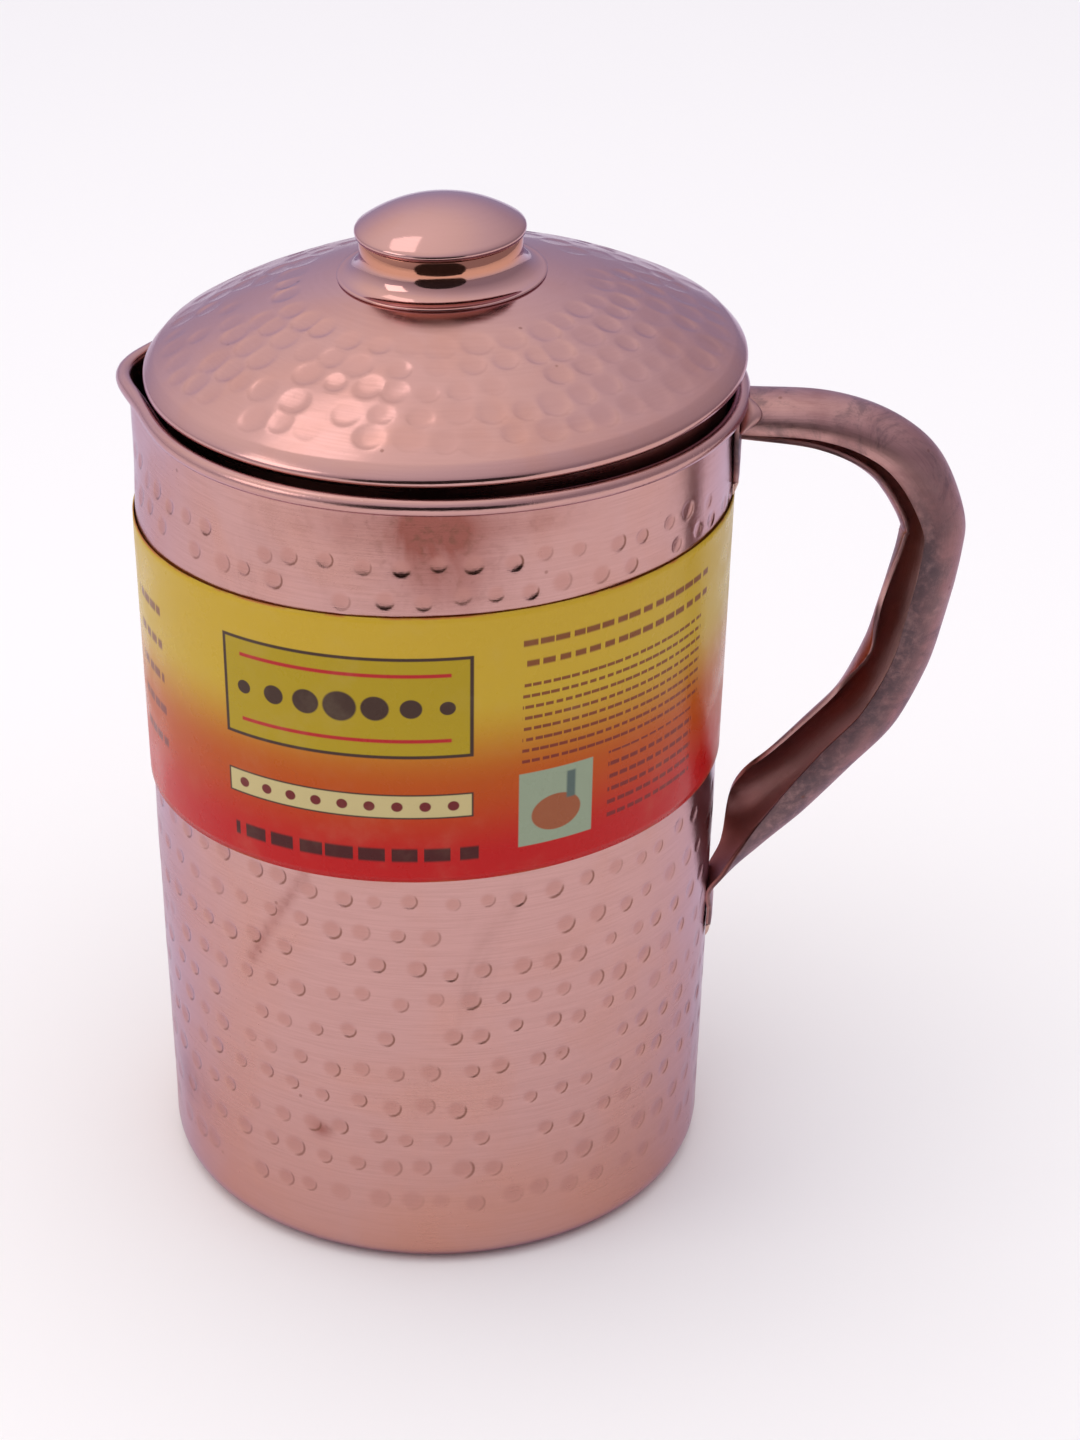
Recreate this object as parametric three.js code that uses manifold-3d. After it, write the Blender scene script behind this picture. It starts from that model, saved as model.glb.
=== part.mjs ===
// Hammered copper water jug with a loose domed lid. Millimetres, +Z up.
// The origin is the centre of the base. The handle is on +X and the pouring lip on -X.
import * as THREE from 'three';
import { mergeVertices } from 'three/addons/utils/BufferGeometryUtils.js';
import Module from 'manifold-3d';

const wasm = await Module();
wasm.setup();

// Driving dimensions
const JUG_HEIGHT = 179.1;        // base to the top of the rolled rim
const RIM_RADIUS = 61.7;         // outside of the wall at the rim
const BASE_RADIUS = 58.6;        // outside of the wall, carried down to the base
const JUG_SHEET = 0.8;           // thickness of the body sheet
const BASE_CORNER = 5.5;         // outside radius between wall and base
const BEAD_RADIUS = 1.65;        // outside radius of the rolled rim

const LIP_PINCH = 5.1;           // how far the rim is squeezed in beside the lip
const LIP_PINCH_SPREAD = 32;     // degrees
const LIP_PUSH = 5.5;            // how far the spout is pushed back out
const LIP_PUSH_SPREAD = 10;      // degrees
const LIP_DEPTH = 30;            // height of wall that the squeeze fades over

const LABEL_HEIGHT = 58.5;
const LABEL_GAP = 0.9;           // upper edge of the label to the brazing under the upper tab
const LABEL_SLANT = 0.038;       // rise per mm towards the handle
const LABEL_SHEET = 0.25;
const LABEL_SEAM = 85;           // degrees round from the handle
const LABEL_SEAM_GAP = 0.6;      // degrees

const HANDLE_SHEET = 1.0;
const HANDLE_REACH = 47.3;       // wall to the back of the handle
const HANDLE_BELOW_RIM = 0.9;    // rim top to the handle's back where it leaves the wall
const TAB_BELOW_RIM = 19;        // rim top to the lower end of the upper tab
const TAB_TOP_HALF_WIDTH = 8.6;
const TAB_END_HALF_WIDTH = 5.5;
const FOOT_TAB_TOP = 63.5;       // height where the lower tab meets the wall
const FOOT_TAB_LENGTH = 8;
const FOOT_TAB_HALF_WIDTH = 6;
const FOOT_BEND = 34;            // radius that the strip has opened out to where it meets the wall
const BRAZE_HEIGHT = 2.4;
const BRAZE_SWELL = 1.1;         // stands out from the wall under the tab
const BRAZE_TOE = 0.5;           // and at its lower end

const LID_INSET = 0.85;          // outside of the wall to the outside of the lid's rolled edge
const LID_SHEET = 0.8;
const LID_EDGE_RADIUS = 1.5;     // outside radius of the rolled edge
const LID_OFFSET = 2.6;          // lid's centre from the jug's axis, towards the handle
const LID_TILT_X = 0.0317;       // rise per mm towards +X
const LID_TILT_Y = 0.0335;       // rise per mm towards +Y
const DOME_HEIGHT = 21.4;        // lid's edge to the middle of the dome
const DOME_SHOULDER = 3.2;       // lid's edge to where the dome meets the rolled edge
const COLLAR_INSET = 4.05;       // lid's outside to the collar's outside
const COLLAR_SHEET = 0.8;
const COLLAR_DROP = 9;           // collar below the lid's edge

const KNOB_NECK_RADIUS = 16.3;
const KNOB_FLARE_WIDTH = 4.7;
const KNOB_FLARE_HEIGHT = 5.2;
const KNOB_BAND_HEIGHT = 3.0;
const KNOB_CAP_OVERHANG = 0.8;
const KNOB_CAP_EDGE = 1.2;
const KNOB_CAP_BEVEL = 0.3;
const KNOB_CAP_RISE = 5.5;
const KNOB_SHEET = 0.8;
const SCREW_RADIUS = 2;
const SCREW_HEAD_RADIUS = 3.8;
const SCREW_HEAD_HEIGHT = 2.2;
const SCREW_HEAD_EDGE = 0.66;    // height of the head's upright edge
const SCREW_HEAD_FLAT = 2.3;     // radius where its rounded side turns in
const SCREW_HEAD_CROWN = 0.33;   // height of its crown from there
const SCREW_LENGTH = 9;
const BUSH_WALL = 1.8;

const CLEARANCE = 0.3;           // between neighbouring pieces
const SPOUT_CROWDING = 0.45;     // facets gather towards the pouring lip
const JUG_FACETS = 60;
const LID_FACETS = 48;
const KNOB_FACETS = 36;
const SCREW_FACETS = 20;

const beadCentreHeight = JUG_HEIGHT - BEAD_RADIUS;
const beadCentreRadius = RIM_RADIUS - JUG_SHEET + BEAD_RADIUS;
const upperTabEnd = JUG_HEIGHT - TAB_BELOW_RIM;
const footTabEnd = FOOT_TAB_TOP - FOOT_TAB_LENGTH;
const lidRadius = RIM_RADIUS - LID_INSET;
const collarRadius = lidRadius - COLLAR_INSET;
const radians = THREE.MathUtils.degToRad;

function wallRadius(z) {
  return THREE.MathUtils.lerp(BASE_RADIUS, RIM_RADIUS, z / JUG_HEIGHT);
}

// How far the lip moves a point of the wall away from the axis.
function lipShift(azimuth, z) {
  const fromLip = THREE.MathUtils.radToDeg(Math.PI - Math.abs(azimuth));
  const bell = (spread) => Math.exp(-0.5 * (fromLip / spread) ** 2);
  const fade = THREE.MathUtils.smoothstep(z, JUG_HEIGHT - LIP_DEPTH, JUG_HEIGHT);
  return fade * (LIP_PUSH * bell(LIP_PUSH_SPREAD) - LIP_PINCH * bell(LIP_PINCH_SPREAD));
}

function wallPoint(azimuth, z, outward) {
  const radius = wallRadius(z) + outward + lipShift(azimuth, z);
  return new THREE.Vector3(radius * Math.cos(azimuth), radius * Math.sin(azimuth), z);
}

// Arc points from one angle to another, in degrees anticlockwise from +r.
function arc(r, z, radius, from, to, steps) {
  const points = [];
  for (let i = 0; i <= steps; i++) {
    const angle = radians(from + (to - from) * i / steps);
    points.push(new THREE.Vector2(r + radius * Math.cos(angle), z + radius * Math.sin(angle)));
  }
  return points;
}

function point(r, z) {
  return new THREE.Vector2(r, z);
}

function closeOutline(points) {
  return [...points, points[0].clone()];
}

// Merged vertices with faces pointing out.
function tidySolid(geometry) {
  geometry.deleteAttribute('normal');
  geometry.deleteAttribute('uv');
  const merged = mergeVertices(geometry, 1e-5);
  const position = merged.attributes.position;
  const index = merged.index.array;
  const corner = (i) => new THREE.Vector3().fromBufferAttribute(position, index[i]);
  let volume = 0;
  for (let i = 0; i < index.length; i += 3) {
    volume += corner(i).dot(corner(i + 1).cross(corner(i + 2)));
  }
  if (volume < 0) {
    for (let i = 0; i < index.length; i += 3) {
      [index[i], index[i + 1]] = [index[i + 1], index[i]];
    }
  }
  merged.computeVertexNormals();
  return merged;
}

function turned(outline, facets) {
  return new THREE.LatheGeometry(outline, facets).rotateX(Math.PI / 2);
}

// A turned shape whose facets gather at the lip and which follows the lip's push and pinch.
function turnedWithLip(outline) {
  const geometry = turned(outline, JUG_FACETS);
  const position = geometry.attributes.position;
  for (let i = 0; i < position.count; i++) {
    const radius = Math.hypot(position.getX(i), position.getY(i));
    const turn = Math.atan2(position.getY(i), position.getX(i));
    const azimuth = turn + SPOUT_CROWDING * Math.sin(turn);
    const shifted = radius + lipShift(azimuth, position.getZ(i));
    position.setXY(i, shifted * Math.cos(azimuth), shifted * Math.sin(azimuth));
  }
  return geometry;
}

// A sheet whose length, width and thickness (each 0 to 1) are placed by a function.
function shapedSheet(lengthSteps, widthSteps, place) {
  const geometry = new THREE.BoxGeometry(1, 1, 1, lengthSteps, widthSteps, 1);
  const position = geometry.attributes.position;
  for (let i = 0; i < position.count; i++) {
    const spot = place(position.getX(i) + 0.5, position.getY(i) + 0.5, position.getZ(i) + 0.5);
    position.setXYZ(i, spot.x, spot.y, spot.z);
  }
  return tidySolid(geometry);
}

function toManifold(geometry) {
  return new wasm.Manifold(new wasm.Mesh({
    numProp: 3,
    vertProperties: new Float32Array(geometry.attributes.position.array),
    triVerts: new Uint32Array(geometry.index.array),
  }));
}

function fromManifold(solid) {
  const mesh = solid.getMesh();
  const geometry = new THREE.BufferGeometry();
  geometry.setAttribute('position', new THREE.BufferAttribute(new Float32Array(mesh.vertProperties), 3));
  geometry.setIndex(new THREE.BufferAttribute(new Uint32Array(mesh.triVerts), 1));
  geometry.computeVertexNormals();
  return geometry;
}

function finish(color, roughness, metalness) {
  return new THREE.MeshStandardMaterial({ color, roughness, metalness });
}

const copper = { color: 0xc48a78, roughness: 0.2, metalness: 1 };

function copperFinish(roughness = copper.roughness) {
  return finish(copper.color, roughness, copper.metalness);
}

function named(name, geometry, material) {
  const mesh = new THREE.Mesh(geometry, material);
  mesh.name = name;
  return mesh;
}

// Body: base, corner and wall are one sheet, rolled outwards at the top into a hollow bead.
function jugBody() {
  const cornerRadius = wallRadius(BASE_CORNER) - BASE_CORNER;
  const wallSteps = [0.35, 0.65, 1].map((share) => beadCentreHeight - LIP_DEPTH * (1 - share));
  const wallLine = (inset) => [beadCentreHeight - LIP_DEPTH, ...wallSteps.slice(0, -1)]
    .map((z) => point(wallRadius(z) - inset, z));
  const curlInside = BEAD_RADIUS - JUG_SHEET;
  const curlEnd = -110;
  const outline = [
    point(0, 0),
    ...arc(cornerRadius, BASE_CORNER, BASE_CORNER, -90, 0, 4),
    ...wallLine(0),
    ...arc(beadCentreRadius, beadCentreHeight, curlInside, 180, curlEnd, 6),
    ...arc(beadCentreRadius, beadCentreHeight, BEAD_RADIUS, curlEnd, 180, 9),
    ...wallLine(JUG_SHEET).reverse(),
    ...arc(cornerRadius, BASE_CORNER, BASE_CORNER - JUG_SHEET, 0, -90, 4),
    point(0, JUG_SHEET),
  ];
  return named('jug_body', tidySolid(turnedWithLip(outline)), copperFinish());
}

// Printed band wrapped once round the wall between the handle's two ends.
function label() {
  const start = radians(LABEL_SEAM + LABEL_SEAM_GAP / 2);
  const turn = radians(360 - LABEL_SEAM_GAP);
  const top = upperTabEnd - CLEARANCE - BRAZE_HEIGHT - LABEL_GAP;
  const riseAtHandle = LABEL_SLANT * wallRadius(top);
  const geometry = shapedSheet(JUG_FACETS, 2, (along, across, through) => {
    const azimuth = Math.atan2(Math.sin(start + turn * along), Math.cos(start + turn * along));
    const z = top - LABEL_HEIGHT * (1 - across) - riseAtHandle * (1 - Math.cos(azimuth));
    return wallPoint(azimuth, z, CLEARANCE + LABEL_SHEET * through);
  });
  return named('label', geometry, finish(0xd08a30, 0.35, 0));
}

// Handle stations, from the rim down to the lower tab. The strip's back is out from the wall by a
// share of the reach, and up by a share of the height between the two ends. near and far are the
// widths of strip on each side of the back, bend is the radius that the strip is rolled to, and
// flatten makes the section wider and shallower.
const STATIONS = [
  { out: 0.387, up: 0.998, near: 12.5, far: 25, bend: 6.8, flatten: 0.15 },
  { out: 0.674, up: 0.963, near: 12.5, far: 27, bend: 7.1, flatten: 0.08 },
  { out: 0.878, up: 0.896, near: 12.5, far: 27.5, bend: 7.2, flatten: 0.02 },
  { out: 1.0, up: 0.789, near: 11.5, far: 26.5, bend: 7, flatten: 0.05 },
  { out: 1.01, up: 0.711, near: 11.5, far: 25, bend: 7, flatten: 0.03 },
  { out: 0.963, up: 0.58, near: 12, far: 22.5, bend: 7.1, flatten: 0 },
  { out: 0.904, up: 0.475, near: 12.5, far: 27, bend: 7.2, flatten: 0 },
  { out: 0.784, up: 0.357, near: 13, far: 23, bend: 7.3, flatten: 0 },
  { out: 0.612, up: 0.266, near: 13, far: 22.5, bend: 7.3, flatten: 0 },
  { out: 0.412, up: 0.167, near: 12, far: 20.5, bend: 7.6, flatten: 0 },
  { out: 0.235, up: 0.092, near: 10, far: 15.5, bend: 9, flatten: 0 },
  { out: 0.11, up: 0.039, near: 7.5, far: 9, bend: 14, flatten: 0 },
];

const HANDLE_ROOT = { near: 12.5, far: 22.5, bend: 6.3, flatten: 0.22 };

function handleStations() {
  const top = JUG_HEIGHT - HANDLE_BELOW_RIM;
  const start = wallRadius(top) + CLEARANCE + HANDLE_SHEET / 4;
  const tab = { near: FOOT_TAB_HALF_WIDTH, far: FOOT_TAB_HALF_WIDTH, flatten: 0 };
  const onFoot = (z, bend) => {
    const x = wallRadius(z) + CLEARANCE + HANDLE_SHEET;
    return { ...tab, x, z, bend: bend ?? x };
  };
  const placed = STATIONS.map((station) => {
    const z = THREE.MathUtils.lerp(FOOT_TAB_TOP, top, station.up);
    return { ...station, x: wallRadius(z) + HANDLE_REACH * station.out, z };
  });
  return [
    { ...HANDLE_ROOT, x: start, z: top },
    ...placed,
    onFoot(FOOT_TAB_TOP, FOOT_BEND),
    onFoot((FOOT_TAB_TOP + footTabEnd) / 2),
    onFoot(footTabEnd),
  ];
}

// The strip rolled into an open channel along the back line.
function handleChannel() {
  const stations = handleStations();
  const back = new THREE.CatmullRomCurve3(stations.map((s) => new THREE.Vector3(s.x, 0, s.z)));
  const shape = (key) => new THREE.CatmullRomCurve3(stations.map((s, i) => new THREE.Vector3(i, s[key], 0)));
  const near = shape('near');
  const far = shape('far');
  const bend = shape('bend');
  const flatten = shape('flatten');
  return shapedSheet(3 * (stations.length - 1), 14, (along, across, through) => {
    const spot = back.getPoint(along);
    const tangent = back.getTangent(along);
    const inward = new THREE.Vector3(tangent.z, 0, -tangent.x);
    const radius = bend.getPoint(along).y;
    const spread = flatten.getPoint(along).y;
    const onStrip = THREE.MathUtils.lerp(-near.getPoint(along).y, far.getPoint(along).y, across);
    const angle = onStrip / radius;
    const rolled = radius - HANDLE_SHEET * through;
    spot.addScaledVector(inward, (1 - spread) * (radius - rolled * Math.cos(angle)));
    spot.y = (1 + spread) * rolled * Math.sin(angle);
    return spot;
  });
}

// Tongue of the strip bent down flat on the wall under the rim.
function upperTab() {
  const top = beadCentreHeight - BEAD_RADIUS - CLEARANCE;
  return shapedSheet(6, 6, (along, across, through) => {
    const z = THREE.MathUtils.lerp(top, upperTabEnd, along);
    const taper = THREE.MathUtils.smoothstep(along, 0.3, 1);
    const halfWidth = THREE.MathUtils.lerp(TAB_TOP_HALF_WIDTH, TAB_END_HALF_WIDTH, taper);
    const azimuth = (2 * across - 1) * halfWidth / wallRadius(z);
    return wallPoint(azimuth, z, CLEARANCE + HANDLE_SHEET * through);
  });
}

// Everything within a clearance of the rolled rim.
function rimRoom() {
  const room = BEAD_RADIUS + CLEARANCE;
  const outline = closeOutline(arc(beadCentreRadius, beadCentreHeight, room, 0, 330, 11));
  return tidySolid(turnedWithLip(outline));
}

function handleStrip() {
  const solid = toManifold(handleChannel()).add(toManifold(upperTab())).subtract(toManifold(rimRoom()));
  return named('handle_strip', fromManifold(solid), copperFinish(0.35));
}

// Fillet of brazing metal under the end of a tab.
function braze(name, tabEnd, halfWidth) {
  const geometry = shapedSheet(6, 4, (along, across, through) => {
    const z = tabEnd - CLEARANCE - BRAZE_HEIGHT * across;
    const azimuth = (2 * along - 1) * halfWidth / wallRadius(z);
    const swell = THREE.MathUtils.lerp(BRAZE_SWELL, BRAZE_TOE, across);
    return wallPoint(azimuth, z, CLEARANCE + swell * through);
  });
  return named(name, geometry, finish(0xb9a690, 0.4, 1));
}

// Height of the dome's outside above the lid's edge.
function domeHeight(r) {
  return DOME_HEIGHT - (DOME_HEIGHT - DOME_SHOULDER) * (r / lidRadius) ** 2;
}

function domeLine(from, to, steps, drop) {
  const points = [];
  for (let i = 0; i <= steps; i++) {
    const r = THREE.MathUtils.lerp(from, to, i / steps);
    points.push(point(r, domeHeight(r) - drop));
  }
  return points;
}

// Domed sheet with its edge rolled under and a hole for the knob's screw.
function lidShell() {
  const edgeRadius = lidRadius - LID_EDGE_RADIUS;
  const hole = SCREW_RADIUS + CLEARANCE;
  const outline = closeOutline([
    ...domeLine(hole, edgeRadius, 8, 0),
    ...arc(edgeRadius, LID_EDGE_RADIUS, LID_EDGE_RADIUS, 50, -170, 7),
    ...arc(edgeRadius, LID_EDGE_RADIUS, LID_EDGE_RADIUS - LID_SHEET, -170, 60, 4),
    ...domeLine(edgeRadius - LID_SHEET, hole, 7, LID_SHEET),
  ]);
  return named('lid_shell', tidySolid(turned(outline, LID_FACETS)), copperFinish());
}

// Plain ring under the lid that drops inside the mouth.
function lidCollar() {
  const inside = collarRadius - COLLAR_SHEET;
  const outline = closeOutline([
    point(collarRadius, -COLLAR_DROP),
    point(collarRadius, domeHeight(collarRadius) - LID_SHEET - CLEARANCE),
    point(inside, domeHeight(inside) - LID_SHEET - CLEARANCE),
    point(inside, -COLLAR_DROP),
  ]);
  return named('lid_collar', tidySolid(turned(outline, LID_FACETS)), copperFinish());
}

const knobFootRadius = KNOB_NECK_RADIUS + KNOB_FLARE_WIDTH;
const knobFoot = domeHeight(knobFootRadius) + CLEARANCE;
const knobBandTop = knobFoot + KNOB_FLARE_HEIGHT + KNOB_BAND_HEIGHT;
const capEdge = knobBandTop + CLEARANCE;
const capRadius = KNOB_NECK_RADIUS + KNOB_CAP_OVERHANG;
const capTop = capEdge + KNOB_CAP_EDGE + KNOB_CAP_RISE;

// Flared foot that narrows to a short upright band.
function knobNeck() {
  const flare = (inset) => {
    const points = [];
    for (let i = 0; i <= 4; i++) {
      const angle = radians(90 * i / 4);
      const r = knobFootRadius - KNOB_FLARE_WIDTH * Math.sin(angle) - inset;
      points.push(point(r, knobFoot + KNOB_FLARE_HEIGHT * (1 - Math.cos(angle))));
    }
    return points;
  };
  const outline = closeOutline([
    ...flare(0),
    point(KNOB_NECK_RADIUS, knobBandTop),
    point(KNOB_NECK_RADIUS - KNOB_SHEET, knobBandTop),
    ...flare(KNOB_SHEET).reverse().slice(0, -1),
    point(knobFootRadius - 2 * KNOB_SHEET, knobFoot + CLEARANCE),
  ]);
  return named('knob_neck', tidySolid(turned(outline, KNOB_FACETS)), copperFinish());
}

// Height of a shallow cap over its edge, at radius r.
function capHeight(r, edgeRadius, rise) {
  const sphere = (edgeRadius ** 2 + rise ** 2) / (2 * rise);
  return Math.sqrt(sphere ** 2 - r * r) - (sphere - rise);
}

function knobCap() {
  const crease = capEdge + KNOB_CAP_EDGE;
  const inside = capRadius - KNOB_SHEET;
  const outline = [point(0, capTop)];
  for (let i = 1; i <= 6; i++) {
    const r = capRadius * i / 6;
    outline.push(point(r, crease + capHeight(r, capRadius, KNOB_CAP_RISE)));
  }
  outline.push(point(capRadius - KNOB_CAP_BEVEL, capEdge), point(inside, capEdge));
  for (let i = 5; i >= 1; i--) {
    const r = inside * i / 6;
    outline.push(point(r, crease - KNOB_SHEET + capHeight(r, inside, KNOB_CAP_RISE)));
  }
  outline.push(point(0, capTop - KNOB_SHEET));
  return named('knob_cap', tidySolid(turned(outline, KNOB_FACETS)), copperFinish());
}

const crownTop = domeHeight(0);

// Threaded bush inside the knob that the screw pulls down on the lid.
function knobBush() {
  const hole = SCREW_RADIUS + CLEARANCE;
  const outside = hole + BUSH_WALL;
  const inside = capRadius - KNOB_SHEET;
  const low = crownTop + CLEARANCE;
  const under = capEdge + KNOB_CAP_EDGE - KNOB_SHEET + capHeight(outside, inside, KNOB_CAP_RISE);
  const high = under - CLEARANCE;
  const holeTop = crownTop - LID_SHEET - CLEARANCE + SCREW_LENGTH + CLEARANCE;
  const outline = [
    point(0, holeTop),
    point(hole, holeTop),
    point(hole, low),
    point(outside, low),
    point(outside, high),
    point(0, high),
  ];
  return named('knob_bush', tidySolid(turned(outline, SCREW_FACETS)), finish(0xb08d57, 0.4, 1));
}

// Round-headed screw driven up from inside the lid.
function knobScrew() {
  const seat = crownTop - LID_SHEET - CLEARANCE;
  const outline = [
    point(0, seat - SCREW_HEAD_HEIGHT),
    point(SCREW_HEAD_FLAT, seat - SCREW_HEAD_HEIGHT + SCREW_HEAD_CROWN),
    point(SCREW_HEAD_RADIUS, seat - SCREW_HEAD_EDGE),
    point(SCREW_HEAD_RADIUS, seat),
    point(SCREW_RADIUS, seat),
    point(SCREW_RADIUS, seat + SCREW_LENGTH),
    point(0, seat + SCREW_LENGTH),
  ];
  return named('knob_screw', tidySolid(turned(outline, SCREW_FACETS)), finish(0xb08d57, 0.35, 1));
}

// The lid lies a little towards the handle, raised on the handle side and at the back, with the
// lowest point of its edge level with the rim.
function lid() {
  const up = new THREE.Vector3(-LID_TILT_X, -LID_TILT_Y, 1).normalize();
  const assembly = new THREE.Group();
  const rise = lidRadius * Math.hypot(LID_TILT_X, LID_TILT_Y);
  assembly.position.set(LID_OFFSET, 0, JUG_HEIGHT + rise);
  assembly.quaternion.setFromUnitVectors(new THREE.Vector3(0, 0, 1), up);
  assembly.add(lidShell(), lidCollar(), knobNeck(), knobCap(), knobBush(), knobScrew());
  return assembly;
}

function jug() {
  const assembly = new THREE.Group();
  assembly.add(jugBody(), label(), handleStrip());
  assembly.add(braze('braze_top', upperTabEnd, TAB_END_HALF_WIDTH));
  assembly.add(braze('braze_foot', footTabEnd, FOOT_TAB_HALF_WIDTH));
  return assembly;
}

const group = new THREE.Group();
group.add(jug(), lid());

export default group;
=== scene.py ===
"""Hammered copper water jug: the visible pieces, their finishes and the table they stand on."""

import math
import random

import bmesh
import bpy
from mathutils import Matrix, Vector, kdtree, noise


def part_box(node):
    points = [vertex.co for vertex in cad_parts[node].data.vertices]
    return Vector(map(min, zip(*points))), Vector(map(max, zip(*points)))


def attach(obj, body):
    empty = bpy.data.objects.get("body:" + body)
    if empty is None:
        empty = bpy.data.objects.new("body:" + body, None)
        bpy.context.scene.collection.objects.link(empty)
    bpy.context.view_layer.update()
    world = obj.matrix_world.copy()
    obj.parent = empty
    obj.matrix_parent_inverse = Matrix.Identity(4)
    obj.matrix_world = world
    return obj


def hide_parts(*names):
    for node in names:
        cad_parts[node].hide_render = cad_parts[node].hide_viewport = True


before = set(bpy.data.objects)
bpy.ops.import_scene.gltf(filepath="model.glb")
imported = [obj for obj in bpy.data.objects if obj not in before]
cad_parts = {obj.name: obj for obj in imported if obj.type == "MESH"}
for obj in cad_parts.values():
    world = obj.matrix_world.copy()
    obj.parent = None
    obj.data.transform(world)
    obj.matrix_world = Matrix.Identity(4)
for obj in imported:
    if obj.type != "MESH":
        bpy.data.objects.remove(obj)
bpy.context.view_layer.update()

bl_info = {
    "name": "Copper Water Jug",
    "version": (1, 0, 0),
    "blender": (4, 5, 0),
    "location": "View3D > Sidebar > Copper Jug",
    "description": "Makes a hammered copper water jug with a lid, a strip handle and a paper label",
    "category": "Add Mesh",
}

MM = 0.001
UP = (0, 0, 1)
JUG_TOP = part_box("jug_body")[1].z
GAP = 0.3 * MM                    # between neighbouring pieces


def mix(a, b, share):
    return a + (b - a) * share


def ease(value, low, high):
    """0 below low, 1 above high and a smooth rise between them."""
    share = min(1, max(0, (value - low) / (high - low)))
    return share * share * (3 - 2 * share)


def length_property(name, description, default):
    return bpy.props.FloatProperty(name=name, description=description, default=default, min=0,
                                   unit="LENGTH", precision=5)


def colour_property(name, description, default):
    return bpy.props.FloatVectorProperty(name=name, description=description, default=default,
                                         subtype="COLOR", min=0, max=1)


class BodySizes(bpy.types.PropertyGroup):
    height: length_property("Height", "Base to the top of the rolled rim", JUG_TOP)
    rim_radius: length_property("Rim radius", "Outside of the wall at the rim", 61.7 * MM)
    base_radius: length_property("Base radius", "Outside of the wall carried to the base", 58.6 * MM)
    sheet: length_property("Sheet", "Thickness of the copper sheet", 0.8 * MM)
    corner: length_property("Corner", "Outside radius between wall and base", 5.5 * MM)
    bead: length_property("Bead", "Outside radius of the rolled rim", 1.65 * MM)
    lip_pinch: length_property("Lip pinch", "How far the rim is squeezed beside the lip", 5.1 * MM)
    lip_push: length_property("Lip push", "How far the spout is pushed back out", 5.5 * MM)
    lip_depth: length_property("Lip depth", "Height of wall that the lip fades over", 30 * MM)
    dent_depth: length_property("Dent depth", "Mean depth of a hammer mark", 0.2 * MM)
    dent_radius: length_property("Dent radius", "Mean radius of a hammer mark", 1.92 * MM)
    dent_spacing: length_property("Dent spacing", "Mean distance between marks", 7.1 * MM)
    dent_row: length_property("Row height", "Distance between rows of marks", 8.3 * MM)


class LabelSizes(bpy.types.PropertyGroup):
    height: length_property("Height", "Width of the paper band", 58.5 * MM)
    top: length_property("Top", "Height of its upper edge at the handle", 156.5 * MM)
    thickness: length_property("Thickness", "Paper and glue", 0.25 * MM)
    slant: bpy.props.FloatProperty(name="Slant", description="Rise per distance towards the handle",
                                   default=0.038)
    seam: bpy.props.FloatProperty(name="Seam", description="Where the ends meet, round from the handle",
                                  default=math.radians(85), subtype="ANGLE")


class HandleSizes(bpy.types.PropertyGroup):
    sheet: length_property("Strip", "Thickness of the strip", 1.0 * MM)
    reach: length_property("Reach", "Wall to the back of the handle", 47.3 * MM)
    below_rim: length_property("Below rim", "Rim top to where the handle leaves the wall", 0.9 * MM)
    tab_end: length_property("Upper tab", "Height of the lower end of the upper tab", 160.1 * MM)
    foot_top: length_property("Foot top", "Height where the lower tab meets the wall", 63.5 * MM)
    foot_end: length_property("Foot end", "Height of the lower end of the lower tab", 55.5 * MM)


class LidSizes(bpy.types.PropertyGroup):
    radius: length_property("Radius", "Outside of the rolled edge", 60.85 * MM)
    sheet: length_property("Sheet", "Thickness of the copper sheet", 0.8 * MM)
    edge: length_property("Edge", "Outside radius of the rolled edge", 1.5 * MM)
    dome: length_property("Dome", "Edge to the middle of the dome", 21.4 * MM)
    shoulder: length_property("Shoulder", "Edge to where the dome meets the rolled edge", 3.2 * MM)
    offset: length_property("Offset", "Middle of the lid from the jug's axis", 2.6 * MM)
    collar_inset: length_property("Collar inset", "Lid's outside to the collar's", 4.05 * MM)
    collar_drop: length_property("Collar drop", "Collar below the lid's edge", 9 * MM)
    neck_radius: length_property("Neck radius", "Knob's upright band", 16.3 * MM)
    flare_width: length_property("Flare width", "Knob's foot beyond the band", 4.7 * MM)
    flare_height: length_property("Flare height", "Height of the knob's foot", 5.2 * MM)
    band_height: length_property("Band height", "Height of the upright band", 3.0 * MM)
    cap_overhang: length_property("Cap overhang", "Cap beyond the band", 0.8 * MM)
    cap_edge: length_property("Cap edge", "Height of the cap's edge", 1.2 * MM)
    cap_rise: length_property("Cap rise", "Height of the cap over its edge", 5.5 * MM)
    dent_depth: length_property("Dent depth", "Mean depth of a hammer mark", 0.19 * MM)
    dent_radius: length_property("Dent radius", "Mean radius of a hammer mark", 3.0 * MM)


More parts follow.
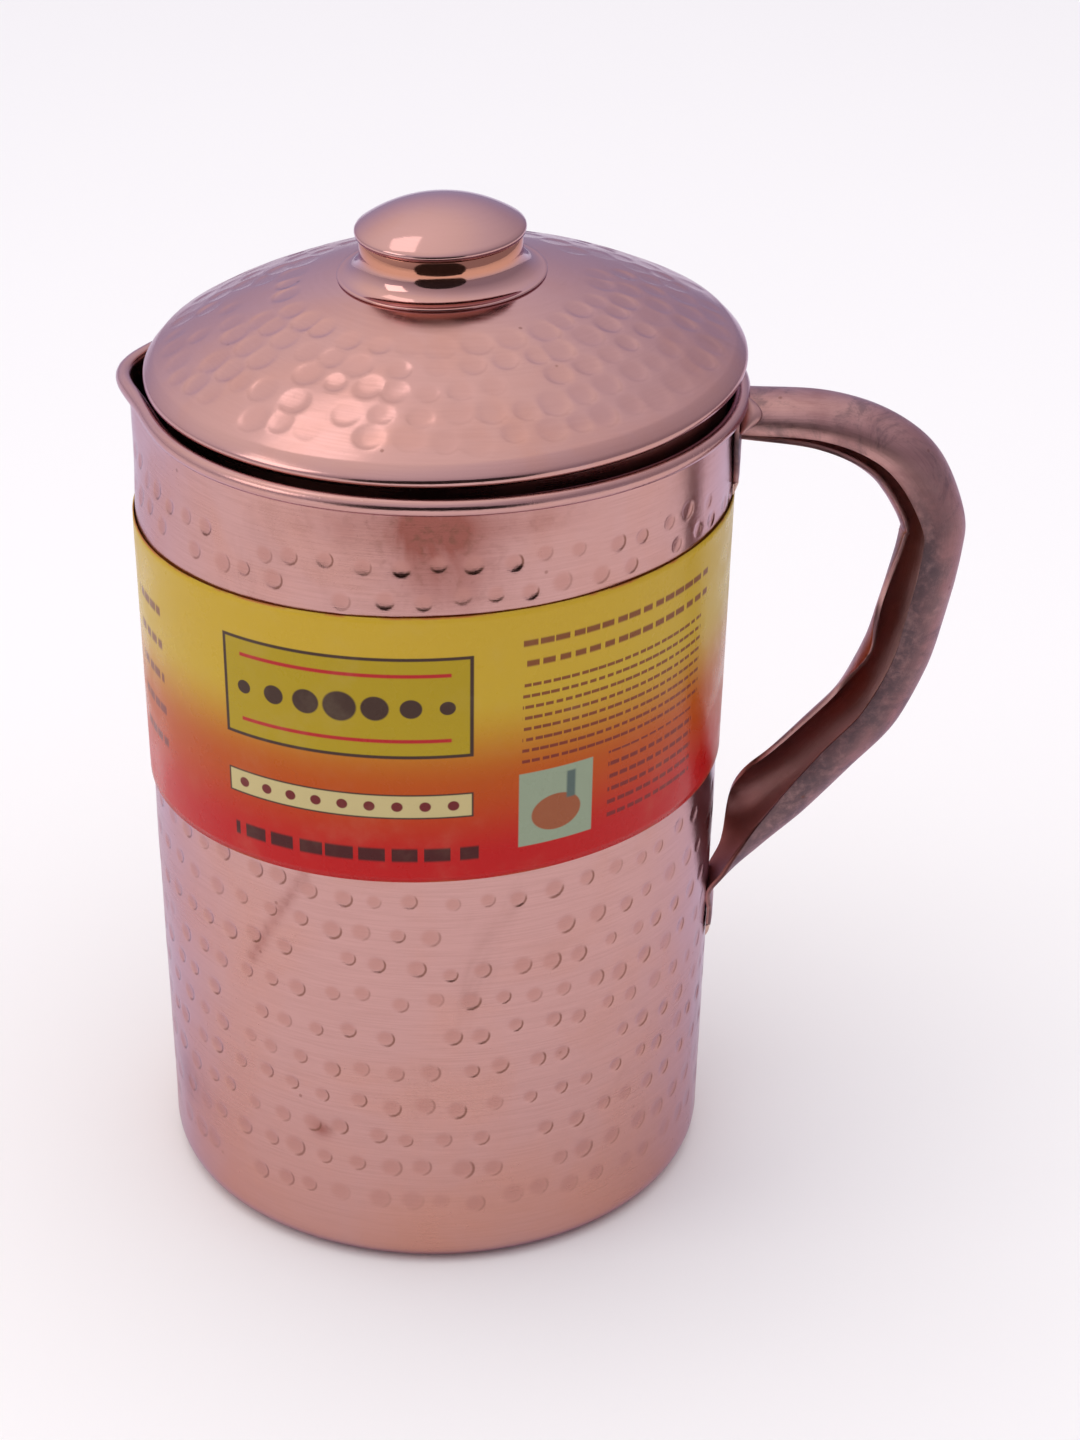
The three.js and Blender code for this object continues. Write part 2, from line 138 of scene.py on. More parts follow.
class Colours(bpy.types.PropertyGroup):
    copper: colour_property("Copper", "Polished copper", (0.575, 0.325, 0.30))
    # Also painted as the warm bounce light from the table on the lower wall.
    warm: colour_property("Warm copper", "Where the polish has worn towards orange", (0.60, 0.27, 0.18))
    # Also painted as shade on the edge each hammer mark leans to.
    tarnish_and_shade: colour_property("Tarnish", "Brown tarnish", (0.20, 0.085, 0.06))
    # Also paints the dark reflection at the top of the wall in front.
    rust: colour_property("Red stain", "Reddish brown stain on the wall", (0.28, 0.085, 0.065))
    # Painted shade: the duller copper inside the hammer marks stands in for their shading.
    mark: colour_property("Hammer marks", "Duller copper inside the marks", (0.47, 0.225, 0.19))
    strip: colour_property("Handle strip", "Brushed copper strip", (0.28, 0.125, 0.13))
    grey_film: colour_property("Grey film", "Dull film on the handle", (0.115, 0.082, 0.092))
    braze: colour_property("Braze", "Brazing metal", (0.62, 0.42, 0.33))
    brass: colour_property("Brass", "Screw and bush", (0.66, 0.47, 0.22))
    label_yellow: colour_property("Label yellow", "Upper part of the label", (0.57, 0.375, 0.03))
    label_orange: colour_property("Label orange", "Middle of the label", (0.48, 0.085, 0.005))
    label_red: colour_property("Label red", "Lower part of the label", (0.50, 0.008, 0.008))
    label_ink: colour_property("Label ink", "Dark printing", (0.16, 0.02, 0.02))
    floor: colour_property("Floor", "Pale table top", (0.96, 0.955, 0.95))


def body_sizes():
    return bpy.context.scene.jug_body_sizes


def label_sizes():
    return bpy.context.scene.jug_label_sizes


def handle_sizes():
    return bpy.context.scene.jug_handle_sizes


def lid_sizes():
    return bpy.context.scene.jug_lid_sizes


def colours():
    return bpy.context.scene.jug_colours


# ---------------------------------------------------------------- shapes shared by several pieces

SECTORS = 8                       # a turned piece is spun as one sector and then doubled
SHARP = math.radians(50)
STRIP_EDGE = 0.22 * MM            # rounding of the handle strip's cut edges
LIP_PINCH_SPREAD = math.radians(32)
LIP_PUSH_SPREAD = math.radians(10)


def wall_radius(z):
    size = body_sizes()
    return mix(size.base_radius, size.rim_radius, z / size.height)


def lip_shift(azimuth, z):
    """How far the pouring lip moves a point of the wall away from the axis."""
    size = body_sizes()
    fade = ease(z, size.height - size.lip_depth, size.height)
    if fade == 0:
        return 0
    from_lip = math.pi - abs(azimuth)
    push = size.lip_push * math.exp(-0.5 * (from_lip / LIP_PUSH_SPREAD) ** 2)
    pinch = size.lip_pinch * math.exp(-0.5 * (from_lip / LIP_PINCH_SPREAD) ** 2)
    return fade * (push - pinch)


def on_wall(azimuth, z, outward):
    radius = wall_radius(z) + outward + lip_shift(azimuth, z)
    return Vector((radius * math.cos(azimuth), radius * math.sin(azimuth), z))


def line_points(start, end, spacing):
    """Points from start to end, end left out, no further apart than spacing."""
    start = Vector(start)
    end = Vector(end)
    steps = max(1, math.ceil((end - start).length / spacing))
    return [start.lerp(end, i / steps) for i in range(steps)]


def arc_points(centre, radius, start, end, steps):
    """Points on an arc from start to end, in degrees anticlockwise from outwards, end included."""
    points = []
    for i in range(steps + 1):
        angle = math.radians(mix(start, end, i / steps))
        points.append(Vector(centre) + radius * Vector((math.cos(angle), math.sin(angle))))
    return points


def turned(outline, steps, closed):
    """A bmesh turned from an outline of (radius, height) points: one sector is spun, then doubled."""
    bm = bmesh.new()
    corners = [bm.verts.new((r, 0, z)) for r, z in outline]
    sides = [bm.edges.new(pair) for pair in zip(corners, corners[1:])]
    if closed:
        sides.append(bm.edges.new((corners[-1], corners[0])))
    turn = 2 * math.pi / SECTORS
    bmesh.ops.spin(bm, geom=corners + sides, cent=(0, 0, 0), axis=UP, dvec=(0, 0, 0),
                   angle=turn, steps=steps // SECTORS, use_merge=False)
    while turn < 2 * math.pi - 0.001:
        copied = bmesh.ops.duplicate(bm, geom=bm.verts[:] + bm.edges[:] + bm.faces[:])
        fresh = [part for part in copied["geom"] if isinstance(part, bmesh.types.BMVert)]
        bmesh.ops.rotate(bm, verts=fresh, cent=(0, 0, 0), matrix=Matrix.Rotation(turn, 3, "Z"))
        turn *= 2
    bmesh.ops.remove_doubles(bm, verts=bm.verts[:], dist=1e-6)
    bmesh.ops.recalc_face_normals(bm, faces=bm.faces[:])
    return bm


def shaped_strip(lengthwise, widthwise, place, uv_name=None):
    """A bmesh grid whose points (along, across, each 0 to 1) are put in place by a function."""
    bm = bmesh.new()
    if uv_name:
        bm.loops.layers.uv.new(uv_name)
    bmesh.ops.create_grid(bm, x_segments=lengthwise, y_segments=widthwise, size=0.5,
                          calc_uvs=bool(uv_name))
    for corner in bm.verts:
        corner.co = place(corner.co.x + 0.5, corner.co.y + 0.5)
    return bm


def soften(bm, width):
    """Rounds every edge that turns by more than SHARP."""
    edges = [e for e in bm.edges if len(e.link_faces) == 2 and e.calc_face_angle(0) > SHARP]
    bmesh.ops.bevel(bm, geom=edges, offset=width, offset_type="OFFSET", affect="EDGES",
                    segments=2, profile=0.5, material=-1, clamp_overlap=True)


def face_outward(bm, index, away):
    """Turns the faces over if the picked one looks inwards; away gives outwards at its middle."""
    bmesh.ops.recalc_face_normals(bm, faces=bm.faces[:])
    face = bm.faces[:][index]
    if face.normal.dot(away(face.calc_center_median())) < 0:
        bmesh.ops.reverse_faces(bm, faces=bm.faces[:])


def piece(name, bm, body, material, replaced):
    """Makes the finished object from a bmesh and tells the frame what it is."""
    mesh = bpy.data.meshes.new(name)
    for face in bm.faces:
        face.smooth = True
    bm.to_mesh(mesh)
    bm.free()
    obj = bpy.data.objects.new(name, mesh)
    bpy.context.scene.collection.objects.link(obj)
    mesh.materials.append(material)
    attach(obj, body)
    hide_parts(*replaced)
    return obj


# ---------------------------------------------------------------- hammer marks


CLEAR_OF_MARKS = 1.6              # radii from a mark at which nothing of it shows
PRESSED_OUT_TO = 1.25             # radii from a mark out to which the sheet is pressed
MARK_LAYERS = ("mark_distance", "mark_lean", "mark_strength")


def mark_layers(bm):
    return [bm.verts.layers.float.new(name) for name in MARK_LAYERS]


class HammerMarks:
    """Shallow round marks, each leaning to one side so that one part of its edge is crisp."""

    def __init__(self):
        self.marks = []
        self.tree = None
        self.widest = 0
        self.deepest = 0

    def add(self, spot, radius, depth, lean):
        self.marks.append((spot, radius, depth, lean))
        self.widest = max(self.widest, radius)
        self.deepest = max(self.deepest, depth)

    def settle(self):
        self.tree = kdtree.KDTree(len(self.marks))
        for index, mark in enumerate(self.marks):
            self.tree.insert(mark[0], index)
        self.tree.balance()

    def at(self, spot):
        """Depth at a spot, its distance from the nearest mark in that mark's radii, its place on the
        mark's lean and the mark's strength."""
        depth = 0
        nearest = (CLEAR_OF_MARKS, 0, 0)
        for _, index, distance in self.tree.find_range(spot, self.widest * CLEAR_OF_MARKS):
            centre, radius, deepest, lean = self.marks[index]
            share = distance / radius
            tilt = (spot - centre).dot(lean) / radius
            if share < nearest[0]:
                nearest = (share, tilt, deepest / self.deepest)
            if share > PRESSED_OUT_TO:
                continue
            bowl = max(0, 1 - share * share)
            wall = ease(1.12 - share, 0, 0.5)
            depth = max(depth, deepest * (0.5 * bowl + 0.5 * wall) * (1 + 0.6 * tilt))
        return depth, nearest


ROWS_BELOW_LABEL = 10
# The painted shade on the edge each mark leans to makes these marks dark.
DARK_MARKS_AT = math.radians(-82)  # marks above the label that lean straight down
DARK_MARKS_SPREAD = math.radians(11)


def body_marks(size, draw):
    """Rows of marks round the wall below the label, and two rows above it."""
    marks = HammerMarks()
    lowest = 16.4 * MM
    rows = [lowest + i * size.dent_row for i in range(ROWS_BELOW_LABEL)]
    rows += [size.height - 20.7 * MM, size.height - 14.5 * MM]
    for row, z in enumerate(rows):
        near_base = 1 - ease(z, lowest, lowest + 3 * size.dent_row)
        above_label = z > 100 * MM
        around = 2 * math.pi * wall_radius(z)
        count = round(around / size.dent_spacing)
        for i in range(count):
            if draw.random() < (0.10 if above_label else 0.02):
                continue
            turn = (i + 0.5 * (row % 2) + draw.uniform(-0.14, 0.14)) / count
            azimuth = turn * 2 * math.pi - math.pi
            height = z + draw.gauss(0, 0.5 * MM) + 0.7 * MM * math.sin(3 * azimuth + row)
            radius = size.dent_radius * draw.uniform(0.82, 1.15) * (1 + 0.18 * near_base)
            depth = size.dent_depth * draw.uniform(0.55, 1.3) * (1 - 0.4 * near_base)
            side = draw.uniform(0.5, 1.1)
            down = draw.uniform(0.1, 0.8)
            if above_label and abs(azimuth - DARK_MARKS_AT) < DARK_MARKS_SPREAD:
                side = 0.15
                down = 1
            across = Vector((-math.sin(azimuth), math.cos(azimuth), 0))
            lean = (across * side - Vector(UP) * down).normalized()
            marks.add(on_wall(azimuth, height, 0), radius, depth, lean)
    marks.settle()
    return marks


LID_MARKS_FROM = 31.5 * MM         # radius of the innermost ring
LID_MARKS_TO = 56 * MM
LID_RING_STEP = 5.6 * MM
LID_MARK_SPACING = 6.6 * MM


def lid_marks(size, draw):
    """Rings of wider marks on the dome, between the knob's ring and the smooth edge."""
    marks = HammerMarks()
    ring = LID_MARKS_FROM
    row = 0
    while ring < LID_MARKS_TO:
        count = round(2 * math.pi * ring / LID_MARK_SPACING)
        for i in range(count):
            if draw.random() < 0.06:
                continue
            azimuth = 2 * math.pi * (i + 0.5 * (row % 2) + draw.uniform(-0.18, 0.18)) / count
            r = ring + draw.gauss(0, 0.5 * MM)
            radius = size.dent_radius * draw.uniform(0.8, 1.2)
            depth = size.dent_depth * draw.uniform(0.5, 1.4)
            turn = azimuth + draw.uniform(-0.7, 0.7)
            lean = Vector((math.cos(turn), math.sin(turn), -0.3)).normalized()
            spot = Vector((r * math.cos(azimuth), r * math.sin(azimuth), dome_height(r)))
            marks.add(spot, radius, depth, lean)
        ring += LID_RING_STEP
        row += 1
    marks.settle()
    return marks


# ---------------------------------------------------------------- finishes

class Nodes:
    """Short words for wiring a material."""

    def __init__(self, name):
        self.material = bpy.data.materials.new(name)
        self.material.use_nodes = True
        self.tree = self.material.node_tree
        self.shader = self.tree.nodes["Principled BSDF"]

    def new(self, kind, inputs=None, **settings):
        node = self.tree.nodes.new(kind)
        for key, value in settings.items():
            setattr(node, key, value)
        for key, value in (inputs or {}).items():
            self.put(value, node.inputs[key])
        return node

    def put(self, value, socket):
        if isinstance(value, bpy.types.NodeSocket):
            self.tree.links.new(value, socket)
        elif socket.type == "RGBA" and len(value) == 3:
            socket.default_value = (*value, 1)
        else:
            socket.default_value = value

    def math(self, operation, *values, clamp=False):
        node = self.new("ShaderNodeMath", operation=operation, use_clamp=clamp)
        for i, value in enumerate(values):
            self.put(value, node.inputs[i])
        return node.outputs[0]

    def remap(self, value, low, high, out_low=0.0, out_high=1.0):
        """Smooth change from out_low to out_high while the value goes from low to high."""
        node = self.new("ShaderNodeMapRange", {0: value, 1: low, 2: high, 3: out_low, 4: out_high},
                        interpolation_type="SMOOTHSTEP")
        return node.outputs[0]

    def blend(self, share, a, b):
        """Colour a where share is 0 and b where it is 1."""
        node = self.new("ShaderNodeMix", data_type="RGBA", blend_type="MIX")
        self.put(share, node.inputs[0])
        self.put(a, node.inputs[6])
        self.put(b, node.inputs[7])
        return node.outputs[2]

    def place(self):
        return self.new("ShaderNodeTexCoord").outputs["Object"]

    def stretched(self, scale, turn=(0, 0, 0)):
        return self.new("ShaderNodeMapping", {"Vector": self.place(), "Scale": scale,
                                              "Rotation": turn}).outputs[0]

    def noise(self, vector, scale, detail=3.0, roughness=0.5, distortion=0.0):
        node = self.new("ShaderNodeTexNoise", {"Vector": vector, "Scale": scale, "Detail": detail,
                                               "Roughness": roughness, "Distortion": distortion})
        return node.outputs[0]

    def specks(self, vector, scale, size, share):
        """Small round spots, in the given share of the cells of a pattern."""
        cells = self.new("ShaderNodeTexVoronoi", {"Vector": vector, "Scale": scale, "Randomness": 1.0})
        spot = self.remap(cells.outputs["Distance"], size * 0.5, size, 1.0, 0.0)
        chosen = self.new("ShaderNodeSeparateColor", {0: cells.outputs["Color"]}).outputs[0]
        return self.math("MULTIPLY", spot, self.math("LESS_THAN", chosen, share))

    def attribute(self, name):
        return self.new("ShaderNodeAttribute", attribute_name=name).outputs["Fac"]

    def bump(self, height, strength, distance):
        return self.new("ShaderNodeBump", {"Height": height, "Strength": strength,
                                           "Distance": distance}).outputs[0]

    def surface(self, **sockets):
        for key, value in sockets.items():
            self.put(value, self.shader.inputs[key.replace("_", " ")])


EDGE_TINT = (0.78, 0.76, 0.95)    # metal seen along its surface


def copper_finish(name, roughness, warm_share, tarnish_share, scratch, marks=0.0, press=0.0,
                  stains_and_painted_bounce=False):
    """Polished copper with warmer patches, rubbed scratches and small brown specks; painted shade inside
    the hammer marks, darkest on the edge each mark leans to; with stains, brown stains partly carrying a
    painted dark reflection, and a painted warm bounce light towards the bottom.
    """
    n = Nodes(name)
    tint = colours()
    place = n.place()
    cloud = n.noise(place, 34, 4, 0.55, 0.4)
    warm = n.remap(cloud, 0.42, 0.72, 0.0, warm_share)
    warm = n.math("MAXIMUM", warm, n.attribute("warm_band"))
    colour = n.blend(warm, tint.copper, tint.warm)
    stain_cloud = n.noise(n.stretched((1, 1, 0.6)), 22, 6, 0.6, 0.8)
    stain = n.remap(stain_cloud, 0.60, 0.78, 0.0, tarnish_share)
    colour = n.blend(stain, colour, tint.tarnish_and_shade)
    specks = n.specks(place, 260, 0.14, 0.05)
    colour = n.blend(n.math("MULTIPLY", specks, 0.5), colour, tint.tarnish_and_shade)
    rubbed = n.noise(n.stretched((9, 9, 420)), 9, 4, 0.6, 0.0)
    crossed = n.noise(n.stretched((260, 18, 90), (0.5, 0.35, 0.9)), 6, 3, 0.6, 0.0)
    hairs = n.math("ADD", n.remap(rubbed, 0.30, 0.70, -0.5, 0.5), n.remap(crossed, 0.62, 0.74))
    colour = n.blend(n.remap(rubbed, 0.35, 0.7, 0.0, scratch * 0.7), colour, tint.tarnish_and_shade)
    rough = n.remap(cloud, 0.3, 0.75, roughness * 0.8, roughness * 1.35)
    rough = n.math("MULTIPLY_ADD", hairs, 0.05, rough)
    rough = n.math("MULTIPLY_ADD", stain, 0.25, rough)
    grain = n.noise(place, 900, 3, 0.6)
    height = n.math("MULTIPLY_ADD", hairs, 0.35, grain)
    normal = n.bump(height, scratch, 0.12 * MM)
    # Weight of the painted shade on the edge each mark leans to.
    crescent_shade_weight = marks
    if stains_and_painted_bounce:
        # Painted warm bounce light from the table: the wall is painted warmer towards the bottom.
        height_up = n.new("ShaderNodeSeparateXYZ", {0: place}).outputs[2]
        low = n.math("MULTIPLY", n.remap(height_up, 2 * MM, 42 * MM, 0.48, 0.0), n.remap(cloud, 0.1, 0.6))
        colour = n.blend(low, colour, tint.warm)
        # Brown stains, with a painted dark reflection at the top of the wall in front.
        stain_and_reflection = n.attribute("stain")
        fleck = n.noise(place, 420, 5, 0.65, 0.4)
        smudge = n.noise(n.stretched((1, 1, 0.45)), 130, 4, 0.55, 0.5)
        soft = n.math("MULTIPLY", stain_and_reflection, n.remap(smudge, 0.30, 0.62, 0.55, 1.0), clamp=True)
        colour = n.blend(n.math("MULTIPLY", soft, 0.92), colour, tint.rust)
        spots = n.math("MULTIPLY", stain_and_reflection, n.remap(fleck, 0.48, 0.66, 0.0, 0.5), clamp=True)
        colour = n.blend(spots, colour, tint.tarnish_and_shade)
        # The painted edge shade is stronger where the wall is stained.
        crescent_shade_weight = n.math("ADD", 1.5 * marks, n.math("MULTIPLY", stain_and_reflection, 0.8), clamp=True)
    if marks:
        share = n.attribute("mark_distance")
        strength = n.attribute("mark_strength")
        deep = n.remap(strength, 0.15, 0.85)
        disc = n.math("MULTIPLY", n.remap(share, 0.5, 1.2, 1.0, 0.0), n.remap(strength, 0.0, 0.45))
        ring = n.math("MULTIPLY", n.remap(share, 0.74, 0.92), n.remap(share, 0.98, 1.12, 1.0, 0.0))
        leaning = n.remap(n.attribute("mark_lean"), 0.2, 0.8)
        crescent = n.math("MULTIPLY", n.math("MULTIPLY", ring, leaning), deep)
        # Painted shade: the marks are painted duller inside, and the edge each leans to, mostly the lower
        # one, is painted dark.
        colour = n.blend(n.math("MULTIPLY", disc, marks), colour, tint.mark)
        colour = n.blend(n.math("MULTIPLY", crescent, crescent_shade_weight), colour, tint.tarnish_and_shade)
        pressed = n.math("MULTIPLY", n.remap(share, 0.72, 1.14, -1.0, 0.0), deep)
        normal = n.new("ShaderNodeBump", {"Height": pressed, "Strength": 1.0, "Distance": press,
                                          "Normal": normal}).outputs[0]
    n.surface(Base_Color=colour, Metallic=1.0, Roughness=rough, Specular_Tint=EDGE_TINT, Normal=normal)
    return n.material


def handle_finish():
    """Copper strip under a patchy grey and brown film that is thickest along the slit's near edge."""
    n = Nodes("tarnished_copper_strip")
    tint = colours()
    place = n.place()
    strip_uv = n.new("ShaderNodeUVMap", uv_map="strip").outputs[0]
    split = n.new("ShaderNodeSeparateXYZ", {0: strip_uv})
    along = split.outputs[0]
    across = split.outputs[1]
    cloud = n.noise(place, 55, 6, 0.6, 0.6)
    fine = n.noise(place, 420, 6, 0.7, 0.3)
    lengthwise = n.new("ShaderNodeMapping", {"Vector": strip_uv, "Scale": (3, 46, 1)}).outputs[0]
    drawn = n.noise(lengthwise, 4, 5, 0.65)
    colour = n.blend(n.remap(cloud, 0.35, 0.7, 0.15, 0.75), tint.copper, tint.strip)
    colour = n.blend(n.remap(drawn, 0.5, 0.8, 0.0, 0.45), colour, tint.tarnish_and_shade)
    ragged = n.math("MULTIPLY_ADD", n.math("SUBTRACT", cloud, 0.5), 0.5, across)
    near_edge = n.remap(ragged, 0.04, 0.36, 1.0, 0.0)
    bend = n.math("MULTIPLY", n.remap(along, 0.12, 0.3), n.remap(along, 0.62, 0.95, 1.0, 0.35))
    film = n.math("MULTIPLY", n.math("MULTIPLY", near_edge, bend), n.remap(fine, 0.25, 0.6, 0.5, 1.0))
    colour = n.blend(n.math("MULTIPLY", film, 0.9), colour, tint.grey_film)
    patch = n.math("MULTIPLY", n.remap(n.noise(place, 85, 7, 0.75, 0.8), 0.48, 0.66), 0.55)
    colour = n.blend(patch, colour, tint.grey_film)
    specks = n.specks(place, 330, 0.22, 0.16)
    colour = n.blend(n.math("MULTIPLY", specks, 0.6), colour, tint.tarnish_and_shade)
    # Painted light: the inner faces, shaded inside the rolled channel, are painted the lighter plain
    # copper.
    inside = n.remap(n.attribute("inner_face"), 0.4, 0.6)
    colour = n.blend(n.math("MULTIPLY", inside, 0.8), colour, tint.copper)
    rough = n.math("MULTIPLY_ADD", film, 0.2, n.remap(cloud, 0.3, 0.7, 0.26, 0.38))
    rough = n.math("MULTIPLY_ADD", fine, 0.08, rough)
    height = n.math("MULTIPLY_ADD", drawn, 1.2, fine)
    n.surface(Base_Color=colour, Metallic=1.0, Roughness=rough, Specular_Tint=EDGE_TINT,
              Normal=n.bump(height, 0.35, 0.16 * MM))
    return n.material


def braze_finish():
    n = Nodes("brazing_metal")
    tint = colours()
    place = n.place()
    lumps = n.noise(place, 900, 5, 0.6, 0.6)
    flux = n.specks(place, 1100, 0.35, 0.3)
    colour = n.blend(n.remap(lumps, 0.4, 0.7), tint.braze, tint.copper)
    colour = n.blend(n.math("MULTIPLY", flux, 0.8), colour, tint.tarnish_and_shade)
    rough = n.remap(lumps, 0.3, 0.7, 0.24, 0.5)
    n.surface(Base_Color=colour, Metallic=1.0, Roughness=rough, Normal=n.bump(lumps, 0.5, 0.4 * MM))
    return n.material


def brass_finish():
    n = Nodes("turned_brass")
    tint = colours()
    rings = n.noise(n.stretched((40, 40, 2600)), 3, 3, 0.6)
    stain = n.noise(n.place(), 320, 5, 0.6)
    colour = n.blend(n.remap(stain, 0.45, 0.75, 0.0, 0.5), tint.brass, tint.tarnish_and_shade)
    rough = n.remap(stain, 0.3, 0.7, 0.26, 0.45)
    n.surface(Base_Color=colour, Metallic=1.0, Roughness=rough, Normal=n.bump(rings, 0.3, 0.1 * MM))
    return n.material


# Degrees round from the handle and millimetres above the label's lower edge.
ORNAMENT_SIDES = (-126, -77)
LABEL_OUTLINE = (0.06, 0.03, 0.02)
FRAME_YELLOW = (0.43, 0.30, 0.012)
FRAME_RED = (0.45, 0.02, 0.02)
BAND_CREAM = (0.58, 0.48, 0.22)
# Left, right, low, high, row pitch, bar length and bar weight of each block of rows of bars.
BAR_BLOCKS = ((-160, -147, 12, 50, 7.5, 3.4, 0.26), (-68, -22, 44.5, 54, 4.4, 3.1, 0.30),
              (-68, -24, 24.0, 43.5, 2.4, 1.9, 0.30), (-50, -26, 6.5, 22.5, 2.9, 2.3, 0.32),
              (24, 70, 10, 50, 3.6, 2.4, 0.32))


class LabelArt(Nodes):
    """Printing on the label, placed in degrees round the jug and millimetres above its lower edge."""

    def __init__(self):
        super().__init__("label_paper")
        size = label_sizes()
        self.width = 360.0
        self.seam = math.degrees(size.seam)
        self.tall = size.height / MM
        uv = self.new("ShaderNodeUVMap", uv_map="label").outputs[0]
        split = self.new("ShaderNodeSeparateXYZ", {0: uv})
        self.turn = self.math("MULTIPLY", split.outputs[0], self.width)
        self.rise = self.math("MULTIPLY", split.outputs[1], self.tall)

    def degrees(self, azimuth):
        """Degrees along the label from its seam to an azimuth."""
        return (azimuth - self.seam) % 360

    def within(self, value, low, high, soft):
        inner = self.remap(value, low - soft, low + soft)
        outer = self.remap(value, high - soft, high + soft, 1.0, 0.0)
        return self.math("MULTIPLY", inner, outer)

    def tilted(self, azimuth, slope):
        """Height on the label, measured along lines that rise by slope for each degree."""
        return self.math("MULTIPLY_ADD", self.math("SUBTRACT", self.turn, self.degrees(azimuth)), -slope,
                         self.rise)

    def panel(self, left, right, low, high, soft=0.15, slope=0.0):
        """1 inside a rectangle of the label, which may be tilted."""
        side = self.within(self.turn, self.degrees(left), self.degrees(right), soft)
        level = self.tilted((left + right) / 2, slope) if slope else self.rise
        return self.math("MULTIPLY", side, self.within(level, low, high, soft))

    def oval(self, middle, height, half_width, half_height):
        """Distance from an oval's middle, 1 on its line."""
        x = self.math("DIVIDE", self.math("SUBTRACT", self.turn, self.degrees(middle)), half_width)
        y = self.math("DIVIDE", self.math("SUBTRACT", self.rise, height), half_height)
        squares = self.math("ADD", self.math("MULTIPLY", x, x), self.math("MULTIPLY", y, y))
        return self.math("SQRT", squares)

    def bordered(self, colour, low, high, line, fill):
        """Paints a rectangle with a thin dark border between the ornament's sides."""
        left, right = ORNAMENT_SIDES
        for inset, paint in ((0.0, LABEL_OUTLINE), (line, fill)):
            shape = self.panel(left + inset, right - inset, low + inset, high - inset)
            colour = self.blend(shape, colour, paint)
        return colour

    def dot_row(self, colour, height, spacing, radii, edge, paint):
        """Paints a row of dots about the ornament's middle, with one radius for each."""
        left, right = ORNAMENT_SIDES
        first = (left + right - spacing * (len(radii) - 1)) / 2
        for i, radius in enumerate(radii):
            dot = self.oval(first + spacing * i, height, radius, radius)
            colour = self.blend(self.remap(dot, *edge, 1.0, 0.0), colour, paint)
        return colour

    def lines_of_print(self, left, right, low, high, pitch, word, weight, slope=0.0):
        """Rows of plain bars that stand for lines of print."""
        tilted = self.tilted((left + right) / 2, slope)
        rows = self.math("DIVIDE", self.math("SUBTRACT", tilted, low), pitch)
        row = self.math("FLOOR", rows)
        in_row = self.within(self.math("FRACT", rows), 0.5 - weight / 2, 0.5 + weight / 2, 0.06)
        pick = self.new("ShaderNodeTexWhiteNoise", {"W": row}, noise_dimensions="1D").outputs["Value"]
        words = self.math("ADD", self.math("DIVIDE", self.turn, word), self.math("MULTIPLY", pick, 9.0))
        number = self.math("ADD", self.math("FLOOR", words), self.math("MULTIPLY", row, 31.0))
        cell = self.new("ShaderNodeTexWhiteNoise", {"W": number}, noise_dimensions="1D").outputs["Value"]
        gap = self.math("GREATER_THAN", self.math("FRACT", words), self.remap(cell, 0, 1, 0.08, 0.3))
        bars = self.math("MULTIPLY", in_row, gap)
        side = self.within(self.turn, self.degrees(left), self.degrees(right), 0.1)
        tall = self.math("MULTIPLY", self.math("GREATER_THAN", tilted, low),
                         self.math("LESS_THAN", tilted, high))
        return self.math("MULTIPLY", bars, self.math("MULTIPLY", side, tall))


